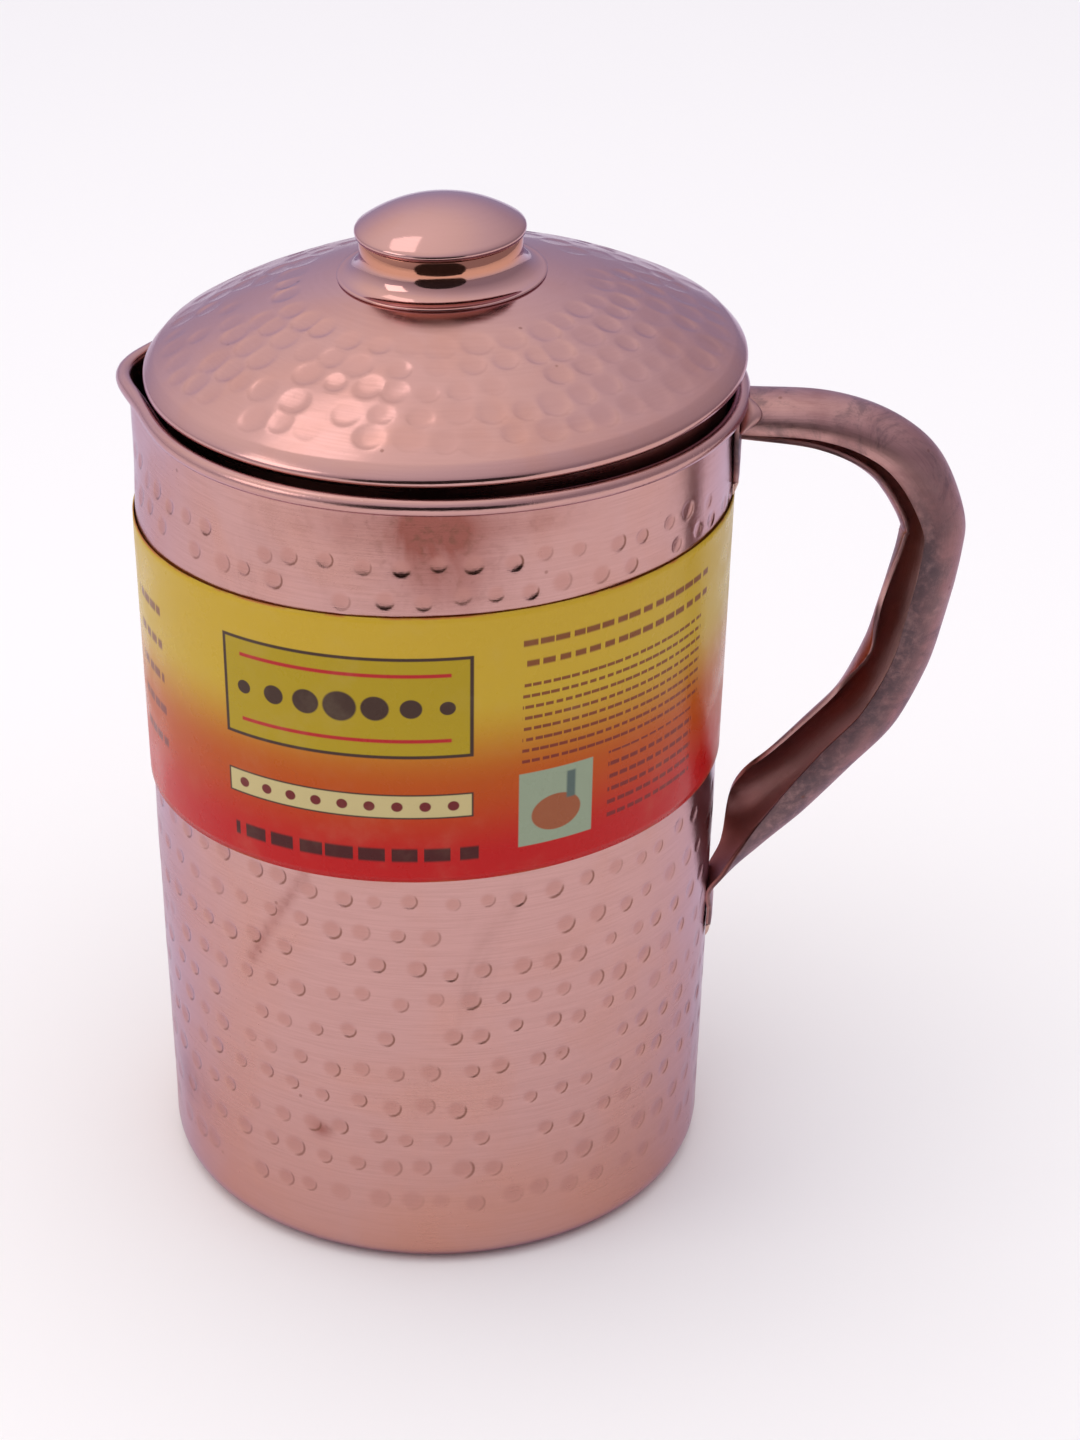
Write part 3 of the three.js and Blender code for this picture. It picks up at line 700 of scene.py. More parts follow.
def label_finish():
    """Paper from yellow to red with a frame of dots, a pale band, rows of bars and a small picture."""
    art = LabelArt()
    tint = colours()
    level = art.math("DIVIDE", art.rise, art.tall)
    colour = art.blend(art.remap(level, 0.08, 0.42), tint.label_red, tint.label_orange)
    colour = art.blend(art.remap(level, 0.36, 0.70), colour, tint.label_yellow)

    colour = art.bordered(colour, 28, 50, 0.7, FRAME_YELLOW)
    for low in (31.5, 45.7):
        colour = art.blend(art.panel(-122, -81, low, low + 0.8), colour, FRAME_RED)
    colour = art.dot_row(colour, 39, 6.6, (1.5, 2.1, 2.7, 3.3, 2.7, 2.1, 1.5), (0.9, 1.05), LABEL_OUTLINE)
    colour = art.bordered(colour, 14.5, 20, 0.35, BAND_CREAM)
    colour = art.dot_row(colour, 17.25, 5.2, [1.1] * 9, (0.85, 1.1), tint.label_ink)
    heading = art.lines_of_print(-125, -76, 3.2, 9.2, 6.0, 6.1, 0.5)
    colour = art.blend(heading, colour, (0.07, 0.01, 0.01))
    for block in BAR_BLOCKS:
        bars = art.math("MULTIPLY", art.lines_of_print(*block), 0.85)
        colour = art.blend(bars, colour, tint.label_ink)

    colour = art.blend(art.panel(-68.5, -53.5, 6.0, 22.5), colour, (0.30, 0.36, 0.24))
    bowl = art.oval(-61, 12.5, 5.2, 4.2)
    colour = art.blend(art.remap(bowl, 0.92, 1.0, 1.0, 0.0), colour, (0.33, 0.10, 0.04))
    stream = art.panel(-59, -57.2, 15, 21.0, 0.3)
    colour = art.blend(stream, colour, (0.10, 0.14, 0.12))

    place = art.place()
    worn = art.noise(place, 90, 5, 0.6)
    colour = art.blend(art.remap(worn, 0.5, 0.8, 0.0, 0.08), colour, (0.60, 0.48, 0.30))
    edge = art.math("MULTIPLY", art.remap(level, 0.0, 0.008, 1.0, 0.0), 0.8)
    upper = art.math("MULTIPLY", art.remap(level, 0.992, 1.0), 0.8)
    torn = art.math("MULTIPLY", art.math("ADD", edge, upper), art.remap(worn, 0.45, 0.6))
    colour = art.blend(torn, colour, (0.45, 0.10, 0.03))
    rough = art.remap(worn, 0.3, 0.75, 0.22, 0.42)
    fibres = art.noise(place, 1500, 3, 0.6)
    ripple = art.noise(place, 55, 2, 0.5)
    height = art.math("MULTIPLY_ADD", ripple, 6.0, fibres)
    art.surface(Base_Color=colour, Roughness=rough, Specular_IOR_Level=0.16, Coat_Weight=0.04,
                Normal=art.bump(height, 0.35, 0.08 * MM))
    return art.material


# ---------------------------------------------------------------- pieces

TURNS = 440                       # steps round the body and the lid
SMALL_TURNS = 240                 # steps round the collar and the knob


def body_outline(size):
    """Outside from the base's middle up the wall, round the rolled rim and back down the inside."""
    inner_corner = size.corner - size.sheet
    corner_at = Vector((wall_radius(size.corner) - size.corner, size.corner))
    bead_at = Vector((size.rim_radius - size.sheet + size.bead, size.height - size.bead))
    curl_end = -110
    wall_foot = Vector((wall_radius(size.corner), size.corner))
    wall_stops = [8 * MM, 95 * MM, 153.5 * MM, 168.5 * MM, bead_at.y]
    spacings = [2.5 * MM, 0.655 * MM, 9 * MM, 0.68 * MM, 2.2 * MM]
    outside = line_points((0, 0), (corner_at.x, 0), 20 * MM)
    outside += arc_points(corner_at, size.corner, -90, 0, 7)[:-1]
    low = wall_foot
    for stop, spacing in zip(wall_stops, spacings):
        high = Vector((wall_radius(stop), stop))
        outside += line_points(low, high, spacing)
        low = high
    curl = arc_points(bead_at, size.bead - size.sheet, 180, curl_end, 7)
    curl += arc_points(bead_at, size.bead, curl_end, 180, 16)
    inside_top = Vector((size.rim_radius - size.sheet, bead_at.y))
    inside_foot = Vector((wall_radius(size.corner) - size.sheet, size.corner))
    inside = line_points(inside_top, inside_foot, 19 * MM)[1:]
    inside += arc_points(corner_at, inner_corner, 0, -90, 5)
    inside += line_points((corner_at.x, size.sheet), (0, size.sheet), 20 * MM)[1:]
    return outside + curl + inside + [Vector((0, size.sheet))]


# Stains on the wall: degrees round from the handle, height, half width, half height, strength. The
# strongest, at the top of the wall facing the camera, are partly a brown smudge and partly a painted dark
# reflection.
# The loop adds a thin slanting streak below the label.
STAINS_AND_REFLECTION = [(-84, 172 * MM, 9.5 * MM, 7 * MM, 1.5), (-82, 161 * MM, 11 * MM, 6 * MM, 0.55),
          (-99, 172 * MM, 12 * MM, 4 * MM, 0.35), (-108, 32 * MM, 2.4 * MM, 1.8 * MM, 0.9),
          (-66, 173 * MM, 10 * MM, 3 * MM, 0.4), (35, 60 * MM, 12 * MM, 8 * MM, 0.6),
          (120, 150 * MM, 14 * MM, 9 * MM, 0.6), (-150, 25 * MM, 9 * MM, 6 * MM, 0.5)]
for step in range(10):
    STAINS_AND_REFLECTION.append((mix(-110, -123, step / 9), mix(94, 70, step / 9) * MM, 1.3 * MM, 1.6 * MM, 0.5))


def stain_and_reflection_at(azimuth, z):
    """Strength of the brown staining at a place on the wall, with the painted dark reflection at the top
    in front.
    """
    strength = 0
    for degrees, height, half_width, half_height, share in STAINS_AND_REFLECTION:
        up = (z - height) / half_height
        if abs(up) > 2.5:
            continue
        across = (azimuth - math.radians(degrees)) * body_sizes().rim_radius / half_width
        strength += share * math.exp(-across * across - up * up)
    return strength


def hammer_body(bm, size):
    """Presses the marks into the wall, gives it its slight unevenness and shapes the lip."""
    draw = random.Random(11)
    marks = body_marks(size, draw)
    layers = mark_layers(bm)
    stain_and_reflection_layer = bm.verts.layers.float.new("stain")
    for corner in bm.verts:
        x, y, z = corner.co
        radius = math.hypot(x, y)
        corner[layers[0]] = CLEAR_OF_MARKS
        if radius < size.base_radius * 0.5:
            continue
        azimuth = math.atan2(y, x)
        outward = lip_shift(azimuth, z)
        outer_face = radius > wall_radius(z) - size.sheet / 2
        if outer_face and size.corner < z < size.height - 2 * size.bead:
            flat = Vector((x / radius, y / radius, 0)) * (radius + outward)
            depth, nearest = marks.at(flat + Vector((0, 0, z)))
            for layer, value in zip(layers, nearest):
                corner[layer] = value
            corner[stain_and_reflection_layer] = stain_and_reflection_at(azimuth, z)
            calm = ease(z, size.corner, 14 * MM)
            calm *= 1 - ease(z, size.height - 12 * MM, size.height - 5 * MM)
            waves = noise.noise(corner.co * 55) * 0.13 * MM
            waves += noise.noise(corner.co * 160) * 0.035 * MM
            outward += calm * waves - depth
        corner.co.x *= (radius + outward) / radius
        corner.co.y *= (radius + outward) / radius


def make_body():
    size = body_sizes()
    bm = turned(body_outline(size), TURNS, closed=False)
    hammer_body(bm, size)
    finish = copper_finish("hammered_copper_body", 0.21, 0.3, 0.3, 0.18, marks=0.55, press=0.06 * MM,
                           stains_and_painted_bounce=True)
    piece("jug_body_copper", bm, "jug", finish, ["jug_body"])


LABEL_SEAM_GAP = math.radians(0.6)


def make_label():
    size = label_sizes()
    seam_gap = LABEL_SEAM_GAP
    start = size.seam + seam_gap / 2
    slack = size.slant * wall_radius(size.top)

    def place(along, across):
        azimuth = start + (2 * math.pi - seam_gap) * along
        azimuth = math.atan2(math.sin(azimuth), math.cos(azimuth))
        z = size.top - size.height * (1 - across) - slack * (1 - math.cos(azimuth))
        return on_wall(azimuth, z, GAP + size.thickness)

    bm = shaped_strip(360, 40, place, "label")
    face_outward(bm, 0, lambda middle: middle)
    bmesh.ops.solidify(bm, geom=bm.faces[:], thickness=size.thickness)
    piece("label_paper_band", bm, "jug", label_finish(), ["label"])


# From the rim down: out from the wall as a share of the reach, up as a share of the height, width of
# the strip to the -Y and to the +Y side of its middle, radius of its roll, and flattening.
HANDLE_STATIONS = [
    (0.387, 0.998, 12.5, 25, 6.8, 0.15),
    (0.674, 0.963, 13, 27, 7.1, 0.08),
    (0.878, 0.896, 13.6, 27.3, 7.2, 0.02),
    (1.0, 0.789, 13.2, 26.2, 7, 0.05),
    (1.01, 0.711, 12.8, 25, 7, 0.03),
    (0.963, 0.58, 12.6, 23, 7.1, 0),
    (0.904, 0.475, 12.5, 27, 7.2, 0),
    (0.784, 0.357, 13, 23, 7.3, 0),
    (0.612, 0.266, 13, 22.5, 7.3, 0),
    (0.412, 0.167, 12, 20.5, 7.6, 0),
    (0.235, 0.092, 10, 15.5, 9, 0),
    (0.11, 0.039, 7.5, 9, 14, 0),
]
HANDLE_ROOT = (12.5, 22.5, 6.3, 0.22)
FOOT_HALF_WIDTH = 6
UPPER_TAB_END = 5.5                # half width of the tab's lower end
FOOT_BEND = 34


def handle_stations(size):
    """Each station as (x, z, near, far, bend, flatten), in metres."""
    top = body_sizes().height - size.below_rim
    start = wall_radius(top) + GAP + size.sheet / 4
    stations = [(start, top, *[v * MM for v in HANDLE_ROOT[:3]], HANDLE_ROOT[3])]
    for out, up, near, far, bend, flatten in HANDLE_STATIONS:
        z = mix(size.foot_top, top, up)
        stations.append((wall_radius(z) + size.reach * out, z, near * MM, far * MM, bend * MM, flatten))
    half = FOOT_HALF_WIDTH * MM
    for z in (size.foot_top, (size.foot_top + size.foot_end) / 2, size.foot_end):
        x = wall_radius(z) + GAP + size.sheet
        bend = FOOT_BEND * MM if z == size.foot_top else x
        stations.append((x, z, half, half, bend, 0))
    return stations


def smooth_value(values, along):
    """Value and slope at a share along a smooth line through evenly spaced values."""
    last = len(values) - 1
    spot = min(along * last, last - 1e-6)
    i = int(spot)
    t = spot - i
    p1 = values[i]
    p2 = values[i + 1]
    p0 = values[i - 1] if i > 0 else 2 * p1 - p2
    p3 = values[i + 2] if i + 2 <= last else 2 * p2 - p1
    a = -0.5 * p0 + 1.5 * p1 - 1.5 * p2 + 0.5 * p3
    b = p0 - 2.5 * p1 + 2 * p2 - 0.5 * p3
    c = 0.5 * (p2 - p0)
    return ((a * t + b) * t + c) * t + p1, (3 * a * t + 2 * b) * t + c


def make_handle():
    size = handle_sizes()
    columns = list(zip(*handle_stations(size)))
    finish = handle_finish()

    def place(along, across):
        (x, dx), (z, dz), (near, _), (far, _), (bend, _), (flatten, _) = [
            smooth_value(column, along) for column in columns]
        inward = Vector((dz, 0, -dx)).normalized()
        on_strip = mix(-near, far, across)
        angle = on_strip / bend
        wave = noise.noise(Vector((x * 60, on_strip * 90, z * 60))) * 0.16 * MM * ease(along, 0.03, 0.15)
        wave *= 1 - ease(along, 0.85, 0.95)
        rolled = bend - abs(wave)
        spot = Vector((x, 0, z)) + inward * (1 - flatten) * (bend - rolled * math.cos(angle))
        spot.y = (1 + flatten) * rolled * math.sin(angle)
        return spot

    bm = shaped_strip(220, 46, place, "strip")
    give_thickness(bm, size.sheet)
    soften(bm, STRIP_EDGE)
    for part in (make_upper_tab(size), make_root_fold(size)):
        join(bm, part)
    piece("handle_strip_copper", bm, "jug", finish, ["handle_strip"])


def join(bm, part):
    """Adds a part's mesh to a bmesh and frees the part."""
    mesh = bpy.data.meshes.new("part")
    part.to_mesh(mesh)
    part.free()
    bm.from_mesh(mesh)
    bpy.data.meshes.remove(mesh)


def give_thickness(bm, sheet):
    """Thickens an open strip towards the inside of its roll."""
    face_outward(bm, len(bm.faces) // 2, lambda middle: Vector((0, middle.y, 0)))
    inner = bm.verts.layers.float.new("inner_face")
    outer_corners = set(bm.verts)
    bmesh.ops.solidify(bm, geom=bm.faces[:], thickness=sheet)
    for corner in bm.verts:
        corner[inner] = 0 if corner in outer_corners else 1


def make_root_fold(size):
    """Corner of the strip folded over against the near flange where it leaves the wall."""
    x, z, _, _, bend, flatten = handle_stations(size)[0]

    def place(along, across):
        angle = -mix(0.35, 1.75, across)
        reach = 3.9 * MM * (1 - abs(2 * across - 1) ** 1.6)
        raised = bend + 0.2 * MM + 0.75 * MM * math.sin(math.pi * along)
        drop = (1 - flatten) * (bend - raised * math.cos(angle))
        return Vector((x + 0.4 * MM + along * reach, (1 + flatten) * raised * math.sin(angle), z - drop))

    bm = shaped_strip(12, 14, place, "strip")
    bmesh.ops.recalc_face_normals(bm, faces=bm.faces[:])
    bmesh.ops.solidify(bm, geom=bm.faces[:], thickness=0.3 * MM)
    bmesh.ops.recalc_face_normals(bm, faces=bm.faces[:])
    inner = bm.verts.layers.float.new("inner_face")
    # The fold is painted mostly with the lighter copper of the inner faces.
    for corner in bm.verts:
        corner[inner] = 0.55
    return bm


def make_upper_tab(size):
    """Tongue of the strip bent down flat on the wall under the rim."""
    jug = body_sizes()
    top = jug.height - 2 * jug.bead - GAP
    top_half = 8.6 * MM
    end_half = UPPER_TAB_END * MM

    def place(along, across):
        z = mix(top, size.tab_end, along)
        half = mix(top_half, end_half, ease(along, 0.3, 1))
        azimuth = (2 * across - 1) * half / wall_radius(z)
        return on_wall(azimuth, z, GAP + size.sheet)

    bm = shaped_strip(26, 20, place, "strip")
    face_outward(bm, 0, lambda middle: Vector((1, 0, 0)))
    bmesh.ops.solidify(bm, geom=bm.faces[:], thickness=size.sheet)
    soften(bm, STRIP_EDGE)
    return bm


def make_bead(name, node, finish, tab_end, half):
    """Brazing metal that swells out from the wall under the end of a tab."""
    height = 2.4 * MM
    swell = 1.1 * MM

    def place(along, across):
        z = tab_end - GAP - height * across
        azimuth = (2 * along - 1) * half / wall_radius(z)
        round_off = math.sqrt(max(0, 1 - (2 * along - 1) ** 4)) * math.sqrt(1 - across ** 2 * 0.9)
        lumps = 0.8 + 0.2 * noise.noise(Vector((along * 5, across * 3, tab_end * 90)))
        return on_wall(azimuth, z, GAP + 0.05 * MM + swell * round_off * lumps)

    bm = shaped_strip(40, 20, place)
    wall_side = bmesh.ops.extrude_face_region(bm, geom=bm.faces[:])
    for corner in [v for v in wall_side["geom"] if isinstance(v, bmesh.types.BMVert)]:
        azimuth = math.atan2(corner.co.y, corner.co.x)
        corner.co = on_wall(azimuth, corner.co.z, GAP)
    bmesh.ops.recalc_face_normals(bm, faces=bm.faces[:])
    piece(name, bm, "jug", finish, [node])


def make_brazing():
    size = handle_sizes()
    finish = braze_finish()
    make_bead("braze_top_bead", "braze_top", finish, size.tab_end, UPPER_TAB_END * MM)
    make_bead("braze_foot_bead", "braze_foot", finish, size.foot_end, FOOT_HALF_WIDTH * MM)


def dome_height(r):
    """Height of the lid's outside above its edge."""
    size = lid_sizes()
    return size.dome - (size.dome - size.shoulder) * (r / size.radius) ** 2


LID_RISE_X = 0.0317                # the askew lid's rise for each unit along X and along Y
LID_RISE_Y = 0.0335


def lid_place():
    """Where the lid lies: a little towards the handle and tipped."""
    size = lid_sizes()
    up = Vector((-LID_RISE_X, -LID_RISE_Y, 1)).normalized()
    lift = size.radius * math.hypot(LID_RISE_X, LID_RISE_Y)
    turn = Vector(UP).rotation_difference(up).to_matrix().to_4x4()
    return Matrix.Translation((size.offset, 0, body_sizes().height + lift)) @ turn


def lay_on_jug(bm):
    bmesh.ops.transform(bm, matrix=lid_place(), verts=bm.verts[:])


def dome_line(start, end, spacing, drop=0.0):
    steps = max(1, math.ceil(abs(end - start) / spacing))
    radii = [mix(start, end, i / steps) for i in range(steps)]
    return [Vector((r, dome_height(r) - drop)) for r in radii]


SCREW_HOLE = 2.3 * MM              # radius
FINE_FROM = 27 * MM                # part of the dome with a mesh fine enough for the marks
FINE_TO = 57.6 * MM


def make_lid():
    size = lid_sizes()
    edge_at = Vector((size.radius - size.edge, size.edge))
    outline = dome_line(SCREW_HOLE, FINE_FROM, 3 * MM)
    outline += dome_line(FINE_FROM, FINE_TO, 0.68 * MM)
    outline += dome_line(FINE_TO, edge_at.x, 0.8 * MM)
    outline += arc_points(edge_at, size.edge, 50, -170, 14)
    outline += arc_points(edge_at, size.edge - size.sheet, -170, 60, 8)
    outline += dome_line(edge_at.x - size.sheet, 8 * MM, 5 * MM, size.sheet)
    outline += dome_line(8 * MM, SCREW_HOLE - 0.01 * MM, 4 * MM, size.sheet)
    outline.append(Vector((SCREW_HOLE, dome_height(SCREW_HOLE) - size.sheet)))
    bm = turned(outline, TURNS, closed=True)
    marks = lid_marks(size, random.Random(23))
    layers = mark_layers(bm)
    for corner in bm.verts:
        radius = math.hypot(corner.co.x, corner.co.y)
        corner[layers[0]] = CLEAR_OF_MARKS
        if radius > 58 * MM or corner.co.z < dome_height(radius) - size.sheet / 2:
            continue
        depth, nearest = marks.at(corner.co)
        waves = noise.noise(corner.co * 60 + Vector((7, 3, 1))) * 0.16 * MM
        calm = ease(radius, 22 * MM, 30 * MM) * (1 - ease(radius, 55 * MM, 58 * MM))
        for layer, value in zip(layers, nearest):
            corner[layer] = value
        corner.co.z += calm * waves - depth
    lay_on_jug(bm)
    finish = copper_finish("hammered_copper_lid", 0.17, 0.3, 0.3, 0.05, marks=0.10, press=0.02 * MM)
    piece("lid_shell_copper", bm, "lid", finish, ["lid_shell"])


def make_collar():
    size = lid_sizes()
    outside = size.radius - size.collar_inset
    inside = outside - size.sheet
    high = [dome_height(r) - size.sheet - GAP for r in (outside, inside)]
    curl = size.sheet / 2
    low = -size.collar_drop + curl
    outline = line_points((outside, low), (outside, high[0]), 2 * MM)
    outline += [Vector((outside, high[0])), Vector((inside, high[1]))]
    outline += line_points((inside, high[1]), (inside, low), 2 * MM)[1:]
    outline += arc_points((outside - curl, low), curl, 180, 360, 6)[:-1]
    bm = turned(outline, SMALL_TURNS, closed=True)
    lay_on_jug(bm)
    finish = copper_finish("plain_copper_collar", 0.27, 0.5, 0.5, 0.25)
    piece("lid_collar_copper", bm, "lid", finish, ["lid_collar"])


def knob_levels(size):
    """Heights of the knob's foot, band top, cap edge and crease above the lid's edge."""
    foot = dome_height(size.neck_radius + size.flare_width) + GAP / 3
    band_top = foot + size.flare_height + size.band_height
    cap_edge = band_top + GAP
    return foot, band_top, cap_edge, cap_edge + size.cap_edge


FLARE_STEPS = 14
CAP_STEPS = 24


def make_knob():
    finish = copper_finish("plain_copper_knob", 0.085, 0.4, 0.15, 0.03)
    make_knob_neck(finish)
    make_knob_cap(finish)


def make_knob_neck(finish):
    """Flared foot with a rounded lower edge, and the upright band over it."""
    size = lid_sizes()
    foot, band_top, _, _ = knob_levels(size)
    foot_radius = size.neck_radius + size.flare_width
    bend = 0.18 * MM
    edge = 0.5 * MM
    round_in = 0.12 * MM

    def flare(inset):
        points = []
        for i in range(FLARE_STEPS + 1):
            angle = math.radians(90 * i / FLARE_STEPS)
            points.append(Vector((foot_radius - size.flare_width * math.sin(angle) - inset,
                                  foot + size.flare_height * (1 - math.cos(angle)))))
        return points

    neck = [Vector((foot_radius - 0.1 * MM, foot)), Vector((foot_radius, foot + round_in)),
            Vector((foot_radius, foot + edge - 0.14 * MM))]
    for i, point in enumerate(flare(0)):
        left = 1 - i / FLARE_STEPS
        neck.append(Vector((point.x - round_in * left, point.y + edge * left)))
    neck += [Vector((size.neck_radius, band_top - bend)), Vector((size.neck_radius - bend, band_top))]
    neck += [Vector((size.neck_radius - size.sheet, band_top))]
    neck += list(reversed(flare(size.sheet)))[:-1]
    neck += [Vector((foot_radius - 2 * size.sheet, foot + GAP)),
             Vector((foot_radius - size.sheet, foot + 0.05 * MM))]
    bm = turned(neck, SMALL_TURNS, closed=True)
    warm_layer = bm.verts.layers.float.new("warm_band")
    for corner in bm.verts:
        corner[warm_layer] = ease(corner.co.z, foot + 0.7 * size.flare_height, foot + size.flare_height)
    lay_on_jug(bm)
    piece("knob_neck_copper", bm, "lid", finish, ["knob_neck"])


def make_knob_cap(finish):
    """Shallow domed cap, turned under at its edge."""
    size = lid_sizes()
    _, _, cap_edge, crease = knob_levels(size)
    radius = size.neck_radius + size.cap_overhang
    rise = size.cap_rise
    sphere = (radius ** 2 + rise ** 2) / (2 * rise)

    def cap_line(edge, drop):
        points = []
        for i in range(CAP_STEPS + 1):
            r = edge * i / CAP_STEPS
            points.append(Vector((r, crease - drop + math.sqrt(sphere ** 2 - r * r) - (sphere - rise))))
        return points

    cap = cap_line(radius - 0.25 * MM, 0)
    for inset, height in ((0.05 * MM, crease - 0.12 * MM), (0, crease - 0.4 * MM),
                          (0.08 * MM, cap_edge + 0.3 * MM), (0.3 * MM, cap_edge), (size.sheet, cap_edge)):
        cap.append(Vector((radius - inset, height)))
    cap += list(reversed(cap_line(radius - 1.5 * size.sheet, size.sheet)))
    bm = turned(cap, SMALL_TURNS, closed=False)
    lay_on_jug(bm)
    piece("knob_cap_copper", bm, "lid", finish, ["knob_cap"])


def make_screw():
    """The screw shows from under the lid; the bush inside the knob keeps its plain shape."""
    size = lid_sizes()
    brass = brass_finish()
    seat = size.dome - size.sheet - GAP
    head = 3.8 * MM
    tall = 2.2 * MM
    shank = 2 * MM
    long = 9 * MM
    slot_half = 0.45 * MM
    outline = [Vector((0, seat - tall))]
    outline += arc_points((head - 1.6 * MM, seat - tall + 1.6 * MM), 1.6 * MM, -90, 0, 8)
    outline += [Vector((head, seat)), Vector((shank, seat)), Vector((shank, seat + long - 0.4 * MM)),
                Vector((shank - 0.4 * MM, seat + long)), Vector((0, seat + long))]
    bm = turned(outline, 64, closed=False)
    for offset in (-slot_half, slot_half):
        bmesh.ops.bisect_plane(bm, geom=bm.verts[:] + bm.edges[:] + bm.faces[:], dist=1e-7,
                               plane_co=(offset, 0, 0), plane_no=(1, 0, 0))
    for corner in bm.verts:
        if abs(corner.co.x) < slot_half + 1e-6 and corner.co.z < seat - 1.2 * MM:
            corner.co.z = seat - 1.1 * MM
    lay_on_jug(bm)
    piece("knob_screw_brass", bm, "lid", brass, ["knob_screw"])
    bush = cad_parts["knob_bush"]
    bush.data.materials.clear()
    bush.data.materials.append(brass)


# ---------------------------------------------------------------- table, light and camera


def aim(obj, spot, target):
    direction = Vector(target) - Vector(spot)
    obj.location = spot
    obj.rotation_euler = direction.to_track_quat("-Z", "Y").to_euler()


def soft_light(name, spot, target, size, power, mirrored, colour):
    light = bpy.data.lights.new(name, "AREA")
    light.shape = "RECTANGLE"
    light.size = size[0]
    light.size_y = size[1]
    light.energy = power
    light.color = colour
    obj = bpy.data.objects.new(name, light)
    aim(obj, spot, target)
    obj.visible_glossy = mirrored
    bpy.context.scene.collection.objects.link(obj)


CAMERA_AT = (0.06235, -0.5932, 0.4171)
CAMERA_RIGHT = (0.9973, 0.0726, 0.0105)
CAMERA_BACK = (0.0592, -0.8809, 0.4695)
CAMERA_LENS = 78.9                 # millimetres


def make_camera():
    camera = bpy.data.cameras.new("camera")
    camera.lens = CAMERA_LENS
    camera.sensor_width = 36
    camera.clip_start = 0.01
    camera.clip_end = 50
    obj = bpy.data.objects.new("camera", camera)
    right = Vector(CAMERA_RIGHT).normalized()
    back = Vector(CAMERA_BACK).normalized()
    up = back.cross(right).normalized()
    right = up.cross(back)
    turn = Matrix((right, up, back)).transposed().to_4x4()
    obj.matrix_world = Matrix.Translation(CAMERA_AT) @ turn
    bpy.context.scene.collection.objects.link(obj)
    bpy.context.scene.camera = obj


# Brightness of the room, from the side away from the light to the side towards it.
ROOM_LIGHT_FROM = (-0.37, 0.22, 0.90)
ROOM_STOPS = ((0.0, (0.38, 0.35, 0.43)), (0.45, (0.62, 0.59, 0.68)), (0.72, (0.84, 0.82, 0.90)),
              (0.88, (1.02, 0.99, 0.99)), (1.0, (1.14, 1.10, 1.10)))


def make_world():
    world = bpy.data.worlds.new("soft_room")
    bpy.context.scene.world = world
    world.use_nodes = True
    nodes = world.node_tree.nodes
    links = world.node_tree.links
    direction = nodes.new("ShaderNodeTexCoord")
    towards = nodes.new("ShaderNodeVectorMath")
    towards.operation = "DOT_PRODUCT"
    towards.inputs[1].default_value = Vector(ROOM_LIGHT_FROM).normalized()
    ramp = nodes.new("ShaderNodeValToRGB")
    elements = ramp.color_ramp.elements
    while len(elements) < len(ROOM_STOPS):
        elements.new(0.5)
    for element, (spot, colour) in zip(elements, ROOM_STOPS):
        element.position = spot
        element.color = (*colour, 1)
    links.new(direction.outputs["Generated"], towards.inputs[0])
    links.new(towards.outputs["Value"], ramp.inputs[0])
    links.new(ramp.outputs[0], nodes["Background"].inputs["Color"])


def staged_disc(name, radius, segments, material):
    """A flat disc that belongs to the stage and not to the jug."""
    bm = bmesh.new()
    bmesh.ops.create_circle(bm, cap_ends=True, segments=segments, radius=radius)
    mesh = bpy.data.meshes.new(name)
    bm.to_mesh(mesh)
    bm.free()
    mesh.materials.append(material)
    obj = bpy.data.objects.new(name, mesh)
    bpy.context.scene.collection.objects.link(obj)
    return obj


def make_floor():
    n = Nodes("pale_table")
    cloud = n.noise(n.place(), 3, 2)
    colour = n.blend(n.remap(cloud, 0.3, 0.7, 0.0, 0.04), colours().floor, (0.86, 0.86, 0.88))
    n.surface(Base_Color=colour, Roughness=0.7, Specular_IOR_Level=0.2)
    staged_disc("table_top", 6, 96, n.material)


def make_dark_board():
    """A dark oval board standing behind the camera, mirrored by the knob and the rims."""
    n = Nodes("dark_board")
    n.surface(Base_Color=(0.02, 0.012, 0.012), Roughness=0.9)
    board = staged_disc("dark_board", 0.5, 64, n.material)
    aim(board, (0.06, -0.66, 0.2), (0.05, 0, 0.2))
    board.scale = (0.92, 0.66, 1)
    board.visible_camera = False
    board.visible_shadow = False
    board.visible_diffuse = False


def make_stage():
    make_camera()
    make_world()
    make_floor()
    make_dark_board()
    soft_light("window_left", (-0.75, 0.25, 1.7), (0, 0, 0.15), (0.6, 0.55), 0.75, True, (1, 0.96, 0.95))
    soft_light("window_side", (-1.2, -0.6, 0.95), (0, 0, 0.2), (0.7, 0.6), 2.1, True, (1, 0.96, 0.92))
    soft_light("table_wash", (0.3, -0.4, 1.9), (0.05, -0.1, 0), (2.2, 2.2), 13.2, False, (1, 0.99, 0.94))
    bpy.context.scene.view_settings.view_transform = "Standard"


# ---------------------------------------------------------------- operators and panel


class MakeJugPiece:
    """What the operators share."""
    bl_options = {"REGISTER", "UNDO"}
    make = None

    def execute(self, context):
        type(self).make()
        return {"FINISHED"}


class COPPERJUG_OT_body(MakeJugPiece, bpy.types.Operator):
    """Make the hammered body with its rolled rim and pouring lip"""
    bl_idname = "copper_jug.body"
    bl_label = "Hammered Body"
    make = staticmethod(make_body)


class COPPERJUG_OT_label(MakeJugPiece, bpy.types.Operator):
    """Wrap the printed paper band round the wall"""
    bl_idname = "copper_jug.label"
    bl_label = "Paper Label"
    make = staticmethod(make_label)


class COPPERJUG_OT_handle(MakeJugPiece, bpy.types.Operator):
    """Roll the strip handle and its tabs"""
    bl_idname = "copper_jug.handle"
    bl_label = "Strip Handle"
    make = staticmethod(make_handle)


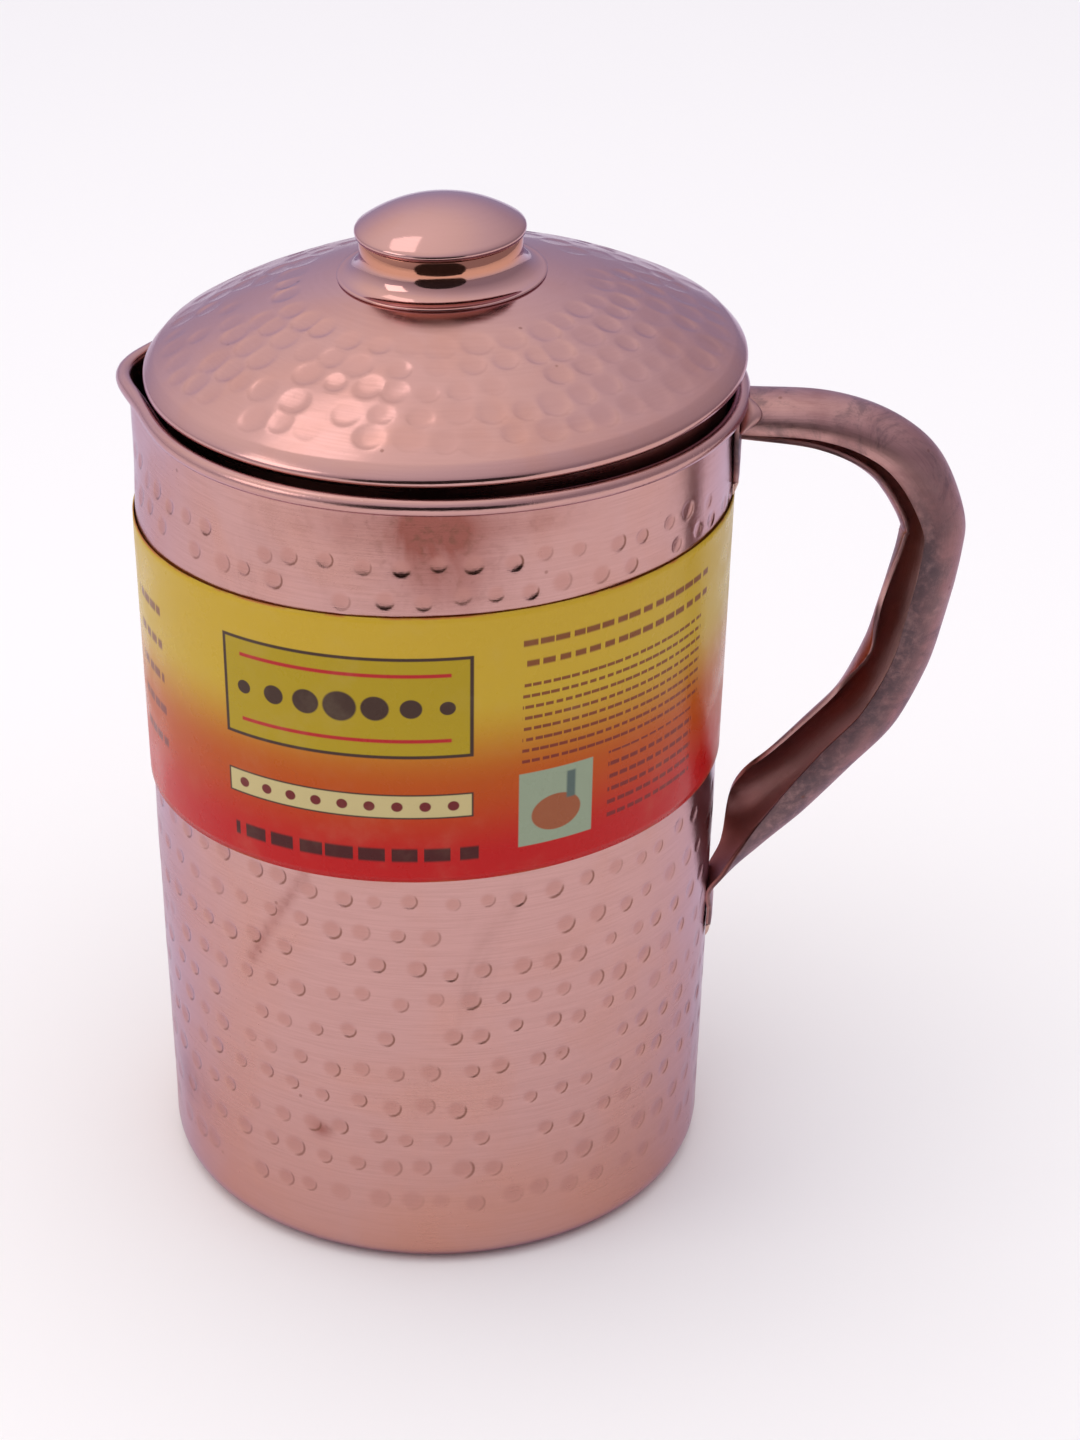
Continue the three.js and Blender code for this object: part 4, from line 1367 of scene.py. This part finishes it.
class COPPERJUG_OT_brazing(MakeJugPiece, bpy.types.Operator):
    """Run the two beads of brazing metal under the handle's tabs"""
    bl_idname = "copper_jug.brazing"
    bl_label = "Brazing"
    make = staticmethod(make_brazing)


class COPPERJUG_OT_lid(MakeJugPiece, bpy.types.Operator):
    """Make the hammered dome of the lid"""
    bl_idname = "copper_jug.lid"
    bl_label = "Hammered Lid"
    make = staticmethod(make_lid)


class COPPERJUG_OT_collar(MakeJugPiece, bpy.types.Operator):
    """Make the ring under the lid"""
    bl_idname = "copper_jug.collar"
    bl_label = "Lid Collar"
    make = staticmethod(make_collar)


class COPPERJUG_OT_knob(MakeJugPiece, bpy.types.Operator):
    """Make the knob's flared neck and its cap"""
    bl_idname = "copper_jug.knob"
    bl_label = "Knob"
    make = staticmethod(make_knob)


class COPPERJUG_OT_screw(MakeJugPiece, bpy.types.Operator):
    """Make the knob's screw and finish its bush"""
    bl_idname = "copper_jug.screw"
    bl_label = "Knob Screw"
    make = staticmethod(make_screw)


class COPPERJUG_OT_stage(MakeJugPiece, bpy.types.Operator):
    """Set out the table top, the soft light and the camera"""
    bl_idname = "copper_jug.stage"
    bl_label = "Table, Light and Camera"
    make = staticmethod(make_stage)


GROUPS = (("jug_body_sizes", BodySizes, "Body"), ("jug_label_sizes", LabelSizes, "Label"),
          ("jug_handle_sizes", HandleSizes, "Handle"), ("jug_lid_sizes", LidSizes, "Lid"),
          ("jug_colours", Colours, "Colours"))
OPERATORS = (COPPERJUG_OT_stage, COPPERJUG_OT_body, COPPERJUG_OT_label, COPPERJUG_OT_handle,
             COPPERJUG_OT_brazing, COPPERJUG_OT_lid, COPPERJUG_OT_collar, COPPERJUG_OT_knob,
             COPPERJUG_OT_screw)


class COPPERJUG_PT_panel(bpy.types.Panel):
    """Lists the jug's sizes, colours and pieces"""
    bl_idname = "COPPERJUG_PT_panel"
    bl_label = "Copper Water Jug"
    bl_space_type = "VIEW_3D"
    bl_region_type = "UI"
    bl_category = "Copper Jug"

    def draw(self, context):
        for attribute, group, title in GROUPS:
            box = self.layout.box()
            box.label(text=title)
            for name in group.__annotations__:
                box.prop(getattr(context.scene, attribute), name)
        for operator in OPERATORS:
            self.layout.operator(operator.bl_idname)


def register():
    for attribute, group, _ in GROUPS:
        bpy.utils.register_class(group)
        setattr(bpy.types.Scene, attribute, bpy.props.PointerProperty(type=group))
    for operator in OPERATORS:
        bpy.utils.register_class(operator)
    bpy.utils.register_class(COPPERJUG_PT_panel)


def unregister():
    bpy.utils.unregister_class(COPPERJUG_PT_panel)
    for operator in reversed(OPERATORS):
        bpy.utils.unregister_class(operator)
    for attribute, group, _ in reversed(GROUPS):
        delattr(bpy.types.Scene, attribute)
        bpy.utils.unregister_class(group)


def main():
    register()
    for operator in OPERATORS:
        getattr(bpy.ops.copper_jug, operator.bl_idname.split(".")[1])()


if __name__ == "__main__":
    main()
